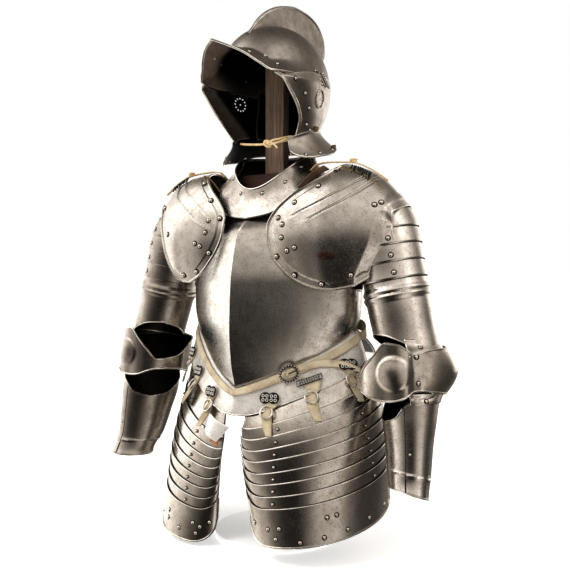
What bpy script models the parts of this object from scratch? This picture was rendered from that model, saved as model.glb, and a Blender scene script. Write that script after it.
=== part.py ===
"""Half armour of polished plate on a wooden stand.

Metres, +Z up. The armour faces -Y, its wearer's left side is +X, and the
stand's foot rests on z = 0 with the post on the Z axis. Every plate is a grid
laid on a surface worked out from a table of sections, given its thickness
inwards. A turn of 0 degrees faces the front and 90 degrees the wearer's left.
"""

import bisect
import math

import bmesh
import bpy
from mathutils import Vector

for old in list(bpy.data.objects):
    bpy.data.objects.remove(old)

# Driving dimensions
WALL = 0.0016             # plate thickness
HIDE = 0.0028             # strap leather thickness
GAP = 0.0003              # clearance between neighbouring pieces
MERGE = 0.00001
STEP_OUT = 0.0030         # how far a lame's lapping edge stands out over its neighbour
LAP = 0.0050              # how far one lame covers the next

BODY_Y = -0.015           # centre line of the cuirass, in front of the post
WAIST_FRONT_Z = 0.292     # lowest point of the breastplate
WAIST_SIDE_RISE = 0.110   # how much higher the waist is at the sides
WAIST_BACK_DROP = 0.012
FAULD_DEPTH = 0.060
FAULD_FLARE = 0.022

NECK_Y = -0.005
HELMET_Y = -0.010         # centre of the helmet skull, measured from the post
HELMET_Z = 0.880          # level of the temples
HELMET_RISE = 0.118
SEAM = 0.0014             # gap under the skull, over the cheek pieces and nape
SHOULDER_Y = -0.012
SHOULDER_Z = 0.560
ELBOW_X = 0.3095
ELBOW_Y = -0.0275
ELBOW_Z = 0.337

# Everything is measured from the post and from the foot of the hanging armour, then set down
# so that the whole stands on z = 0 with its box centred
SET = Vector((0.0, 0.0144, 0.016))
POST_HALF = (0.0225, 0.0100)
POST_TOP = 0.980
BASE_RADIUS = 0.125
BASE_THICK = 0.010

STEEL = ("plate_steel", (0.44, 0.42, 0.39), 0.32, 1.0)
LEATHER = ("buff_leather", (0.72, 0.63, 0.46), 0.75, 0.0)
LACING = ("lace_leather", (0.70, 0.50, 0.22), 0.70, 0.0)
WOOD = ("post_wood", (0.27, 0.16, 0.11), 0.60, 0.0)
BOARD = ("board_wood", (0.24, 0.10, 0.07), 0.60, 0.0)
PAINT = ("base_paint", (0.86, 0.86, 0.85), 0.50, 0.0)


# Tables of sections
def table(names, *rows):
    """Columns by name; the first column is the one the table is read along."""
    heads = names.split()
    return {"key": heads[0], **{head: [row[i] for row in rows] for i, head in enumerate(heads)}}


def read(sections, column, at):
    """The column's value at a place along the table, on a smooth curve that never overshoots."""
    keys = sections[sections["key"]]
    values = sections[column]
    if at <= keys[0]:
        return values[0]
    if at >= keys[-1]:
        return values[-1]

    def secant(i):
        return (values[i + 1] - values[i]) / (keys[i + 1] - keys[i])

    def slope(i):
        if i == 0:
            return secant(0)
        if i == len(keys) - 1:
            return secant(i - 1)
        before, after = secant(i - 1), secant(i)
        return 0.0 if before * after <= 0 else 2 * before * after / (before + after)

    i = bisect.bisect_right(keys, at) - 1
    span = keys[i + 1] - keys[i]
    f = (at - keys[i]) / span
    return ((2 * f**3 - 3 * f**2 + 1) * values[i] + (f**3 - 2 * f**2 + f) * span * slope(i)
            + (3 * f**2 - 2 * f**3) * values[i + 1] + (f**3 - f**2) * span * slope(i + 1))


def mix(a, b, f):
    return a + (b - a) * f


# Object makers
def material(kind):
    name, colour, roughness, metallic = kind
    made = bpy.data.materials.get(name)
    if made is None:
        made = bpy.data.materials.new(name)
        made.use_nodes = True
        shader = made.node_tree.nodes["Principled BSDF"]
        shader.inputs["Base Color"].default_value = (*colour, 1.0)
        shader.inputs["Roughness"].default_value = roughness
        shader.inputs["Metallic"].default_value = metallic
        made.diffuse_color = (*colour, 1.0)
    return made


def finish(name, shape, kind):
    bmesh.ops.translate(shape, verts=shape.verts, vec=SET)
    mesh = bpy.data.meshes.new(name)
    shape.to_mesh(mesh)
    shape.free()
    mesh.materials.append(material(kind))
    mesh.shade_smooth()
    mesh.set_sharp_from_angle(angle=math.radians(35))
    made = bpy.data.objects.new(name, mesh)
    bpy.context.collection.objects.link(made)
    return made


def plate(name, surface, across, up, kind=STEEL, wall=WALL, side=1):
    """A grid on surface(s, t), s running towards the wearer's left and t upwards, made solid inwards."""
    shape = bmesh.new()
    bmesh.ops.create_grid(shape, x_segments=across, y_segments=up, size=0.5)
    for vert in shape.verts:
        x, y, z = surface(vert.co.x + 0.5, vert.co.y + 0.5)
        vert.co = (side * x, y, z)
    bmesh.ops.remove_doubles(shape, verts=shape.verts, dist=MERGE)
    if side < 0:
        bmesh.ops.reverse_faces(shape, faces=shape.faces)
    made = finish(name, shape, kind)
    solid = made.modifiers.new("wall", "SOLIDIFY")
    solid.thickness = wall
    solid.offset = -1.0
    solid.use_even_offset = True
    return made


def turned(radius_x, radius_front, radius_back, turn, centre_y):
    """A point of an oval ring: turn 0 at the front, positive towards the wearer's left."""
    depth = radius_front if math.cos(turn) > 0 else radius_back
    return radius_x * math.sin(turn), centre_y - depth * math.cos(turn)


# Cuirass: the body's outer surface, with its sharp medial ridge
TORSO = table("z half_width front ridge back",
              (0.230, 0.186, 0.128, 0.10, 0.110),
              (0.290, 0.146, 0.124, 0.45, 0.085),
              (0.330, 0.152, 0.134, 0.55, 0.086),
              (0.360, 0.165, 0.138, 0.58, 0.092),
              (0.400, 0.186, 0.141, 0.60, 0.102),
              (0.440, 0.194, 0.140, 0.60, 0.112),
              (0.490, 0.195, 0.137, 0.60, 0.120),
              (0.540, 0.184, 0.128, 0.62, 0.120),
              (0.585, 0.168, 0.114, 0.64, 0.112),
              (0.602, 0.158, 0.098, 0.55, 0.106),
              (0.625, 0.146, 0.070, 0.35, 0.098),
              (0.660, 0.128, 0.060, 0.20, 0.086))


def body(turn, z, out=0.0):
    """A point of the cuirass, moved out from its surface."""
    half_width = read(TORSO, "half_width", z) + out
    if math.cos(turn) < 0:
        return (half_width * math.sin(turn), BODY_Y - (read(TORSO, "back", z) + out) * math.cos(turn), z)
    ridge = read(TORSO, "ridge", z)
    shape = (1 - ridge) * math.cos(turn) + ridge * (1 - abs(math.sin(turn)))
    return (half_width * math.sin(turn), BODY_Y - (read(TORSO, "front", z) + out) * shape, z)


def waist(turn):
    """Height of the waist line, lowest at the front point."""
    share = min(abs(turn) / math.radians(90), 1.0)
    behind = max(0.0, -math.cos(turn))
    return WAIST_FRONT_Z + WAIST_SIDE_RISE * share**1.15 - WAIST_BACK_DROP * behind


BREAST_TOP = table("turn z", (0, 0.622), (20, 0.628), (34, 0.626), (44, 0.588), (52, 0.535),
                   (60, 0.500), (72, 0.480), (99, 0.474))
BACK_TOP = table("turn z", (99, 0.474), (112, 0.492), (124, 0.550), (134, 0.620), (144, 0.652),
                 (160, 0.656), (180, 0.648))
SIDE_SEAM = math.radians(98)


def breastplate(s, t):
    turn = mix(-SIDE_SEAM, SIDE_SEAM, s)
    return body(turn, mix(waist(turn), read(BREAST_TOP, "z", abs(math.degrees(turn))), t))


def backplate(s, t):
    """The back of the cuirass with the flange that flares out below its waist."""
    flange = 0.2
    seam = SIDE_SEAM + math.radians(0.3)
    turn = mix(seam, math.tau - seam, s)
    near = min(turn, math.tau - turn)
    top = read(BACK_TOP, "z", math.degrees(near))
    low = waist(near)
    if t >= flange:
        return body(near if turn < math.pi else -near, mix(low, top, (t - flange) / (1 - flange)))
    drop = 1 - t / flange
    fade = min(1.0, (near - seam) / math.radians(32))
    x, y, z = body(near if turn < math.pi else -near, low, 0.050 * drop**1.2 * fade)
    return (x, y, z - 0.045 * drop * fade)


# Fauld and tassets
def fauld_surface(turn, drop, out=0.0):
    """A point under the belt: drop runs from 0 at the waist to 1 at the fauld's lower edge."""
    z = waist(turn)
    side_flare = 0.0016 + FAULD_FLARE * max(drop, 0.0) ** 0.85 + out
    front_flare = 0.0016 + 0.006 * max(drop, 0.0) + out
    half_width = read(TORSO, "half_width", z) + side_flare
    ridge = read(TORSO, "ridge", z) * mix(1.0, 0.72, min(max(drop, 0.0), 1.0))
    shape = (1 - ridge) * math.cos(turn) + ridge * (1 - abs(math.sin(turn)))
    front = read(TORSO, "front", z) + front_flare
    if math.cos(turn) < 0:
        shape = math.cos(turn)
        front = read(TORSO, "back", z) + side_flare
    round_off = 0.010 * math.exp(-(math.degrees(turn) / 8) ** 2) * max(drop, 0.0)
    return (half_width * math.sin(turn), BODY_Y - front * shape, z - FAULD_DEPTH * drop + round_off)


FAULD_ROWS = table("t drop inset", (0.0, 1.0, 0.0), (0.25, 0.55, 0.0), (0.5, 0.14, 0.0), (0.75, 0.02, 0.0052),
                   (1.0, -0.16, 0.0058))


def fauld(s, t):
    """The skirt plate: its upper edge is tucked up inside the breastplate."""
    turn = mix(math.radians(-97.5), math.radians(97.5), s)
    return fauld_surface(turn, read(FAULD_ROWS, "drop", t), -read(FAULD_ROWS, "inset", t))


THIGH = {"x": 0.109, "y": -0.010, "across": 0.128, "deep": 0.157}
TASSET_IN = math.radians(8)
TASSET_OUT = math.radians(97)
THIGH_IN = math.radians(-33)
THIGH_OUT = math.radians(112)
TASSET_TUCK = 0.96        # the tasset starts this far down inside the fauld
TUCK_CLEAR = 0.0030
TASSET_STEP = 0.0034
TASSET_LAMES = (0.0, 0.250, 0.338, 0.427, 0.509, 0.598, 0.680, 0.768, 0.857, 1.0)
RIGHT_HANGS = 0.026       # the right tasset hangs this much lower on its straps


def tasset_surface(across, height, out, side):
    """Across 0 at the fork, 1 at the hip; height 0 at the hem, 1 under the fauld."""
    top = Vector(fauld_surface(mix(TASSET_IN, TASSET_OUT, across), TASSET_TUCK, -WALL - TUCK_CLEAR))
    corner_in = max(0.0, 1 - across / 0.17)
    corner_out = max(0.0, (across - 0.93) / 0.07)
    hem_z = (0.017 + 0.050 * across**1.7 + 0.050 * (1 - math.sqrt(max(0.0, 1 - corner_in**2)))
             + 0.012 * (1 - math.sqrt(max(0.0, 1 - corner_out**2))))
    thigh = mix(THIGH_IN, THIGH_OUT, across)
    x = THIGH["x"] + THIGH["across"] * math.sin(thigh)
    y = THIGH["y"] - THIGH["deep"] * math.cos(thigh)
    lean = (1 - height) ** 0.78
    swell = 0.012 * math.sin(math.pi * height**1.6)
    point = Vector((mix(top.x, x, lean), mix(top.y, y, lean), mix(hem_z, top.z, height)))
    outwards = (point - Vector((THIGH["x"], THIGH["y"], point.z))).normalized()
    point += outwards * (out + swell)
    if side < 0:
        point.z -= RIGHT_HANGS * min(1.0, (1 - height) / 0.14)
    return point


def tasset_plate(index, side):
    """Plates are counted from the hem; each laps over the one above it."""
    low, high = TASSET_LAMES[index], TASSET_LAMES[index + 1]
    top_plate = index == len(TASSET_LAMES) - 2

    def surface(s, t):
        if top_plate:
            return tasset_surface(s, mix(low, high, t), 0.0, side)
        return tasset_surface(s, mix(low, high + 0.022, t), TASSET_STEP * t, side)

    return surface


# Collar
COLLAR = table("rise half_width front back",
               (0.0, 0.126, 0.101, 0.104),
               (0.3, 0.106, 0.092, 0.088),
               (0.7, 0.088, 0.083, 0.075),
               (1.0, 0.081, 0.080, 0.071))
COLLAR_LOW = table("turn z", (0, 0.612), (20, 0.618), (40, 0.640), (55, 0.668), (75, 0.686),
                   (105, 0.688), (130, 0.678), (180, 0.668))


def collar(turn, rise):
    low = read(COLLAR_LOW, "z", abs(math.degrees(turn)))
    rim = 0.745 - 0.075 * ((1 + math.cos(turn)) / 2) ** 3.5
    x, y = turned(read(COLLAR, "half_width", rise), read(COLLAR, "front", rise),
                  read(COLLAR, "back", rise), turn, NECK_Y)
    return (x, y, mix(low, rim, rise))


COLLAR_SEAM = math.radians(90)


def collar_front(s, t):
    return collar(mix(-COLLAR_SEAM, COLLAR_SEAM, s), t)


def collar_back(s, t):
    slit = math.radians(0.4)
    turn = mix(COLLAR_SEAM + slit, math.tau - COLLAR_SEAM - slit, s)
    return collar(turn if turn < math.pi else turn - math.tau, t)


# Helmet
PEAK = table("turn reach rise",
             (0, 0.082, 0.0526), (7, 0.073, 0.045), (20, 0.053, 0.030), (31, 0.040, 0.013),
             (41, 0.036, 0.0), (60, 0.021, 0.0), (80, 0.004, 0.0), (95, 0.0, 0.0))
SKULL = {"across": 0.100, "front": 0.128, "back": 0.138}
PEAK_BAND = 0.20          # share of the skull's grid that forms the peak and brow
BROW_SHARE = 0.038        # how little of the rise to the crown the middle of the peak uses up


def skull(s, t):
    """The bowl from its rim up to the crown, with the peak drawn out of its front."""
    turn = mix(-math.pi, math.pi, s)
    degrees = abs(math.degrees(turn))
    start = math.asin(read(PEAK, "rise", degrees) / HELMET_RISE)
    drawn = read(PEAK, "reach", degrees)
    held = mix(BROW_SHARE, 1.0, (t - PEAK_BAND) / (1 - PEAK_BAND)) if t > PEAK_BAND else BROW_SHARE * t / PEAK_BAND
    level = mix(start, math.pi / 2, mix(t, held, (drawn / PEAK["reach"][0]) ** 2))
    reach = drawn * max(0.0, 1 - t / PEAK_BAND) ** 1.6
    ring = math.cos(level) ** 0.92
    x, y = turned(SKULL["across"] * ring, SKULL["front"] * ring, SKULL["back"] * ring, turn, HELMET_Y)
    away = Vector((x, y - HELMET_Y))
    if away.length > MERGE:
        away = away * (1 + reach / away.length)
    return (away.x, away.y + HELMET_Y, HELMET_Z + HELMET_RISE * math.sin(level))


# The head below the temples, by depth under them
HEAD = table("depth half_width front back",
             (0.000, 0.1000, 0.128, 0.138),
             (0.030, 0.0995, 0.124, 0.130),
             (0.060, 0.0970, 0.114, 0.112),
             (0.085, 0.0900, 0.099, 0.099),
             (0.112, 0.0820, 0.084, 0.094))
CHEEK_EDGE = table("depth turn reach",
                   (0.000, 42, 0.1510), (0.010, 48, 0.1467), (0.030, 54, 0.1330), (0.060, 63, 0.1130),
                   (0.085, 68, 0.0967), (0.112, 69, 0.0780))
CHEEK_BACK = math.radians(104)
GUARD = table("turn depth flare fall",
              (50, 0.1185, 0.006, 0.016), (62, 0.1145, 0.012, 0.028), (80, 0.1045, 0.021, 0.040),
              (100, 0.0955, 0.030, 0.042), (125, 0.0900, 0.032, 0.033), (180, 0.0880, 0.034, 0.028))


def head(turn, depth):
    x, y = turned(read(HEAD, "half_width", depth), read(HEAD, "front", depth),
                  read(HEAD, "back", depth), turn, HELMET_Y)
    return Vector((x, y - HELMET_Y))


def seam_depth(turn):
    return read(GUARD, "depth", math.degrees(turn)) - 0.0016


def cheek(s, t):
    turn_below = mix(math.radians(read(CHEEK_EDGE, "turn", 0.112)), CHEEK_BACK, s)
    depth = mix(seam_depth(turn_below), SEAM, t)
    turn = mix(math.radians(read(CHEEK_EDGE, "turn", depth)), CHEEK_BACK, s)
    away = head(turn, depth)
    away = away * mix(1.0, read(CHEEK_EDGE, "reach", depth) / away.length, (1 - s) ** 2)
    return (away.x, away.y + HELMET_Y, HELMET_Z - depth)


def nape(s, t):
    slit = math.radians(0.6)
    turn = mix(CHEEK_BACK + slit, math.tau - CHEEK_BACK - slit, s)
    depth = mix(seam_depth(min(turn, math.tau - turn)), SEAM, t)
    away = head(turn, depth)
    return (away.x, away.y + HELMET_Y, HELMET_Z - depth)


def neck_guard(s, t):
    """The collar plate that flares out below the nape, open over the throat."""
    turn = mix(math.radians(54), math.radians(306), s)
    near = math.degrees(min(turn, math.tau - turn))
    away = head(turn, read(GUARD, "depth", near))
    away = away * (1 + read(GUARD, "flare", near) * (1 - t) ** 1.4 / away.length)
    return (away.x, away.y + HELMET_Y, HELMET_Z - read(GUARD, "depth", near) - read(GUARD, "fall", near) * (1 - t))


COMB = table("along y z",
             (0.00, -0.0985, 0.969), (0.10, -0.0848, 0.983), (0.20, -0.0660, 1.0045), (0.30, -0.0384, 1.0262),
             (0.42, -0.0042, 1.0436), (0.53, 0.0283, 1.0537), (0.64, 0.0679, 1.0607), (0.74, 0.1060, 1.0586),
             (0.82, 0.1390, 1.0508), (0.88, 0.1623, 1.0349), (0.93, 0.1761, 1.0127), (0.97, 0.1790, 0.9880),
             (1.00, 0.1500, 0.9420))
COMB_HALF = 0.0030
COMB_CLEAR = 0.0010


def comb(name):
    """The crest: a band standing on the skull's midline, from the brow to the nape."""
    shape = bmesh.new()
    bmesh.ops.create_grid(shape, x_segments=24, y_segments=2, size=0.5)
    for vert in shape.verts:
        along = vert.co.x + 0.5
        front = along < 0.5
        x, y, z = skull(0.5, mix(0.45, 1.0, 2 * along)) if front else skull(1.0, mix(1.0, 0.16, 2 * along - 1))
        root = Vector((0.0, y, z))
        root += (root - Vector((0.0, HELMET_Y, HELMET_Z))).normalized() * COMB_CLEAR
        tip = Vector((0.0, read(COMB, "y", along), read(COMB, "z", along)))
        vert.co = root.lerp(tip, vert.co.y + 0.5)
    edges = bmesh.ops.extrude_face_region(shape, geom=shape.faces[:])
    moved = [item for item in edges["geom"] if isinstance(item, bmesh.types.BMVert)]
    bmesh.ops.translate(shape, verts=moved, vec=(2 * COMB_HALF, 0, 0))
    bmesh.ops.translate(shape, verts=shape.verts, vec=(-COMB_HALF, 0, 0))
    bmesh.ops.recalc_face_normals(shape, faces=shape.faces)
    return finish(name, shape, STEEL)


# Pauldrons: a vault over the shoulder, front to back, shrinking towards the arm
SHOULDER = table("out x rise depth",
                 (0.00, 0.050, 0.150, 0.103),
                 (0.25, 0.108, 0.156, 0.110),
                 (0.50, 0.168, 0.153, 0.107),
                 (0.70, 0.216, 0.140, 0.093),
                 (0.82, 0.248, 0.118, 0.080),
                 (0.92, 0.273, 0.094, 0.071),
                 (1.00, 0.294, 0.064, 0.066))
MAIN = {
    1: table("arch inner outer",
             (-33, 0.60, 0.80), (-31, 0.48, 0.88), (-26, 0.34, 0.915), (-18, 0.21, 0.93), (-8, 0.10, 0.935),
             (4, 0.04, 0.935), (14, 0.03, 0.93), (24, 0.085, 0.935), (35, 0.21, 0.94), (46, 0.35, 0.95),
             (60, 0.47, 0.96), (80, 0.53, 0.965), (100, 0.53, 0.955), (118, 0.46, 0.95), (134, 0.34, 0.945),
             (150, 0.22, 0.94), (166, 0.17, 0.90), (182, 0.20, 0.84), (194, 0.32, 0.74), (200, 0.44, 0.60)),
    -1: table("arch inner outer",
              (-27, 0.40, 0.43), (-25, 0.34, 0.46), (-21, 0.25, 0.49), (-12, 0.14, 0.545), (-2, 0.055, 0.60),
              (8, 0.01, 0.645), (18, 0.00, 0.70), (26, 0.02, 0.74), (35, 0.09, 0.78), (46, 0.205, 0.825),
              (58, 0.31, 0.87), (72, 0.385, 0.92), (90, 0.42, 0.955), (110, 0.40, 0.97), (128, 0.33, 0.96),
              (146, 0.22, 0.94), (164, 0.17, 0.90), (182, 0.20, 0.84), (194, 0.32, 0.74), (200, 0.44, 0.60))}


def shoulder(arch, out, lift=0.0):
    x = read(SHOULDER, "x", out)
    rise = read(SHOULDER, "rise", out) + lift
    depth = read(SHOULDER, "depth", out) + lift
    return (x, SHOULDER_Y - depth * math.cos(arch), SHOULDER_Z + rise * math.sin(arch))


def pauldron_main(side):
    """The right pauldron is cut back in front, the left one reaches over the arm."""
    ends = MAIN[side]

    def surface(s, t):
        arch = mix(200, ends["arch"][0], s)
        return shoulder(math.radians(arch), mix(read(ends, "inner", arch), read(ends, "outer", arch), t))

    return surface


# Arms: rings square to a line through shoulder, elbow and wrist
ARM = table("z x y tilt wide thin",
            (0.118, 0.3285, -0.0790, 0.04, 0.0440, 0.0340),
            (0.128, 0.3275, -0.0750, 0.04, 0.0430, 0.0325),
            (0.160, 0.3210, -0.0600, 0.05, 0.0480, 0.0360),
            (0.210, 0.3160, -0.0490, 0.06, 0.0545, 0.0400),
            (0.260, 0.3120, -0.0390, 0.08, 0.0600, 0.0470),
            (0.310, 0.3100, -0.0310, 0.12, 0.0600, 0.0530),
            (0.360, 0.3060, -0.0260, 0.20, 0.0560, 0.0550),
            (0.400, 0.2955, -0.0230, 0.24, 0.0550, 0.0550),
            (0.440, 0.2850, -0.0200, 0.24, 0.0560, 0.0560),
            (0.470, 0.2770, -0.0180, 0.22, 0.0565, 0.0565),
            (0.500, 0.2705, -0.0165, 0.20, 0.0565, 0.0565),
            (0.560, 0.2575, -0.0140, 0.19, 0.0580, 0.0580),
            (0.590, 0.2515, -0.0120, 0.18, 0.0560, 0.0560),
            (0.620, 0.2450, -0.0100, 0.18, 0.0500, 0.0500),
            (0.660, 0.2360, -0.0080, 0.18, 0.0400, 0.0400))
BROAD = math.radians(45)  # the forearm is broadest from the front of the outer side to the back of the inner


def arm(turn, z, out=0.0):
    wide, thin = read(ARM, "wide", z) + out, read(ARM, "thin", z) + out
    along, over = wide * math.cos(turn - BROAD), thin * math.sin(turn - BROAD)
    across = along * math.sin(BROAD) + over * math.cos(BROAD)
    deep = over * math.sin(BROAD) - along * math.cos(BROAD)
    return (read(ARM, "x", z) + across, read(ARM, "y", z) + deep, z + read(ARM, "tilt", z) * across)


LAME_Z = (0.494, 0.524, 0.554, 0.584, 0.614)
LAME_TURNS = (math.radians(-62), math.radians(205))


def shoulder_lame(index):
    """Counted from the arm upwards; each laps over the one below."""
    def surface(s, t):
        turn = mix(LAME_TURNS[0], LAME_TURNS[1], s)
        z = mix(LAME_Z[index], LAME_Z[index + 1] + LAP, t)
        return arm(turn, z, STEP_OUT * (1 - t))

    return surface


TURNED_RING = table("z out", (0.458, 0.0), (0.463, 0.0025), (0.467, 0.0034), (0.471, 0.0012), (0.475, 0.0032),
                    (0.479, 0.0022), (0.484, 0.0), (0.500, -0.0018))
CROOK = math.radians(-45)


def from_crook(turn):
    """Angle away from the crook of the elbow, 0 to 180 degrees."""
    return abs(math.degrees((turn - CROOK + math.pi) % math.tau - math.pi))


UPPER_EDGE = table("away z", (0, 0.410), (35, 0.402), (70, 0.382), (100, 0.368), (180, 0.364))
LOWER_EDGE = {1: table("away z", (0, 0.251), (35, 0.260), (60, 0.283), (80, 0.289), (100, 0.294), (130, 0.300),
                       (180, 0.304)),
              -1: table("away z", (0, 0.243), (35, 0.250), (60, 0.266), (80, 0.276), (100, 0.286), (130, 0.300),
                        (180, 0.304))}
CUFF_HEM = 0.118
CUFF_CUT = {1: 0.0145, -1: 0.0}
CUFF_SLANT = {1: 0.0105, -1: 0.0}
SLANT_TURN = math.radians(-30)


def upper_cannon(s, t):
    turn = mix(0, math.tau, s)
    z = mix(read(UPPER_EDGE, "z", from_crook(turn)), 0.500, t)
    return arm(turn, z, read(TURNED_RING, "out", z))


def cuff_hem(turn, side):
    """The left forearm piece is the shorter one, and is cut on a slant, highest inside the wrist."""
    return CUFF_HEM + CUFF_CUT[side] + CUFF_SLANT[side] * math.cos(turn - SLANT_TURN)


def lower_cannon(side):
    def surface(s, t):
        turn = mix(0, math.tau, s)
        return arm(turn, mix(cuff_hem(turn, side), read(LOWER_EDGE[side], "z", from_crook(turn)), t))

    return surface


# The closed bracelet at the elbow, by turn: reach of its middle, lower and upper edge, how
# far the edges draw in, and how far the upper edge leans out
ELBOW = table("turn reach low high bulge lean",
              (-225, 0.0860, -0.041, 0.041, 0.0235, 0.0),
              (-190, 0.0800, -0.040, 0.040, 0.0160, 0.0),
              (-165, 0.0700, -0.038, 0.034, 0.0040, 0.002),
              (-145, 0.0690, -0.042, 0.030, 0.0, 0.008),
              (-125, 0.0760, -0.047, 0.027, 0.0, 0.012),
              (-98, 0.0830, -0.043, 0.014, 0.0, 0.008),
              (-72, 0.0900, -0.034, -0.008, 0.0, 0.002),
              (-45, 0.0970, -0.028, -0.010, 0.0, 0.0),
              (-32, 0.0950, -0.034, 0.016, 0.0, -0.002),
              (-20, 0.0910, -0.041, 0.040, 0.0, -0.004),
              (-6, 0.0860, -0.045, 0.053, 0.0, -0.004),
              (8, 0.0840, -0.043, 0.051, 0.0, -0.008),
              (20, 0.0800, -0.036, 0.042, 0.0, -0.012),
              (30, 0.0690, -0.028, 0.035, 0.0, -0.004),
              (42, 0.0660, -0.027, 0.037, 0.001, 0.0),
              (55, 0.0670, -0.030, 0.040, 0.0045, 0.0),
              (75, 0.0700, -0.033, 0.041, 0.008, 0.0),
              (100, 0.0780, -0.038, 0.041, 0.0160, 0.0),
              (135, 0.0860, -0.041, 0.041, 0.0235, 0.0))


def elbow(s, t):
    """Cup behind, wing on the outer side, narrow band over the crook."""
    turn = mix(-225, 135, s)
    z = ELBOW_Z + mix(read(ELBOW, "low", turn), read(ELBOW, "high", turn), t)
    edge = abs(2 * t - 1)
    radius = read(ELBOW, "reach", turn) - read(ELBOW, "bulge", turn) * edge**2.2 + read(ELBOW, "lean", turn) * (t - 0.5)
    angle = math.radians(turn)
    return (ELBOW_X + radius * math.sin(angle), ELBOW_Y - radius * math.cos(angle), z)


# Straps
BELT_WIDE = 0.020
STRAP_LIFT = 0.0022
BACK_FROM = 99            # the belt climbs from the fauld onto the backplate between these turns
BACK_TO = 118


def belt_surface(s, t):
    turn = mix(0, math.tau, s)
    near = turn if turn <= math.pi else turn - math.tau
    share = min(max((abs(math.degrees(near)) - BACK_FROM) / (BACK_TO - BACK_FROM), 0.0), 1.0)
    share = share * share * (3 - 2 * share)
    front = Vector(fauld_surface(near, mix(0.36, 0.03, t), HIDE + STRAP_LIFT + 0.0006))
    z = waist(near) + 0.0015 + BELT_WIDE * t
    back = Vector(body(near, z, HIDE + STRAP_LIFT))
    point = front.lerp(back, share)
    away = Vector((point.x, point.y - BODY_Y, 0.0)).normalized()
    return point + away * 0.030 * share * (1 - share)


STRAP_TURNS = (24, 49, 73)


def tasset_strap(turn, side, name):
    """A tapering strap that hangs over the fauld's edge onto the tasset."""
    across_middle = (turn - TASSET_IN) / (TASSET_OUT - TASSET_IN)
    hem = tasset_surface(across_middle, 0.0, 0.0, 1).z
    top = tasset_surface(across_middle, 1.0, 0.0, 1).z

    def surface(s, t):
        down = 1 - t
        half = mix(0.0125, 0.0065, down)
        here = turn + (s - 0.5) * 2 * half / 0.175
        z = waist(turn) - FAULD_DEPTH * mix(0.52, 1.64, down)
        drop = (waist(here) - z) / FAULD_DEPTH
        on_fauld = Vector(fauld_surface(here, min(drop, 1.05), HIDE + STRAP_LIFT))
        across = (here - TASSET_IN) / (TASSET_OUT - TASSET_IN)
        height = min((z - hem) / (top - hem), 1.0)
        on_tasset = Vector(tasset_surface(across, height, HIDE + STRAP_LIFT + TASSET_STEP, 1))
        share = min(max((drop - 0.97) / 0.12, 0.0), 1.0)
        point = on_fauld.lerp(on_tasset, share)
        return (point.x, point.y, z)

    return plate(name, surface, 2, 8, LEATHER, HIDE, side)


def cord(name, points, radius, kind, sides=8):
    """A round cord along a smooth path, its ends closed."""
    shape = bmesh.new()
    rings = []
    for i, point in enumerate(points):
        along = (points[min(i + 1, len(points) - 1)] - points[max(i - 1, 0)]).normalized()
        first = along.cross(Vector((0, 0, 1))).normalized()
        second = along.cross(first)
        turns = [math.tau * k / sides for k in range(sides)]
        rings.append([shape.verts.new(point + radius * (first * math.cos(a) + second * math.sin(a)))
                      for a in turns])
    for low, high in zip(rings, rings[1:]):
        for k in range(sides):
            shape.faces.new((low[k], low[(k + 1) % sides], high[(k + 1) % sides], high[k]))
    shape.faces.new(rings[0])
    shape.faces.new(rings[-1])
    bmesh.ops.recalc_face_normals(shape, faces=shape.faces)
    return finish(name, shape, kind)


def smooth_path(corners, steps):
    """Points along a smooth curve through the corners."""
    points = []
    ends = [corners[0] * 2 - corners[1], *corners, corners[-1] * 2 - corners[-2]]
    for a, b, c, d in zip(ends, ends[1:], ends[2:], ends[3:]):
        for i in range(steps):
            f = i / steps
            points.append(0.5 * (2 * b + (c - a) * f + (2 * a - 5 * b + 4 * c - d) * f**2
                                 + (3 * b - a - 3 * c + d) * f**3))
    points.append(corners[-1])
    return points


def block(name, low, high, kind, soften=0.0015):
    shape = bmesh.new()
    bmesh.ops.create_cube(shape, size=1.0)
    low, high = Vector(low), Vector(high)
    size, middle = high - low, (high + low) / 2
    bmesh.ops.scale(shape, vec=size, verts=shape.verts)
    bmesh.ops.translate(shape, vec=middle, verts=shape.verts)
    bmesh.ops.bevel(shape, geom=shape.edges[:], offset=soften, segments=1, affect="EDGES", profile=0.5, material=-1)
    return finish(name, shape, kind)


def shoulder_strap(side, name):
    """The short strap that hangs the pauldron from the collar, arching over the gap between them."""
    arch = table("x z", (0.104, 0.7045), (0.120, 0.7155), (0.140, 0.7205), (0.165, 0.7200), (0.185, 0.7140),
                 (0.200, 0.7075))

    def surface(s, t):
        x = mix(0.104, 0.200, s)
        return (x, mix(-0.043, -0.027, t), read(arch, "z", x))

    return plate(name, surface, 8, 1, LACING, HIDE, side)


def outlined(name, outline, y_low, y_high, kind):
    """A board cut to an outline of (x, z) corners."""
    shape = bmesh.new()
    corners = [shape.verts.new((x, y_low, z)) for x, z in outline]
    face = shape.faces.new(corners)
    pushed = bmesh.ops.extrude_face_region(shape, geom=[face])
    moved = [item for item in pushed["geom"] if isinstance(item, bmesh.types.BMVert)]
    bmesh.ops.translate(shape, verts=moved, vec=(0, y_high - y_low, 0))
    bmesh.ops.recalc_face_normals(shape, faces=shape.faces)
    return finish(name, shape, kind)


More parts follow.
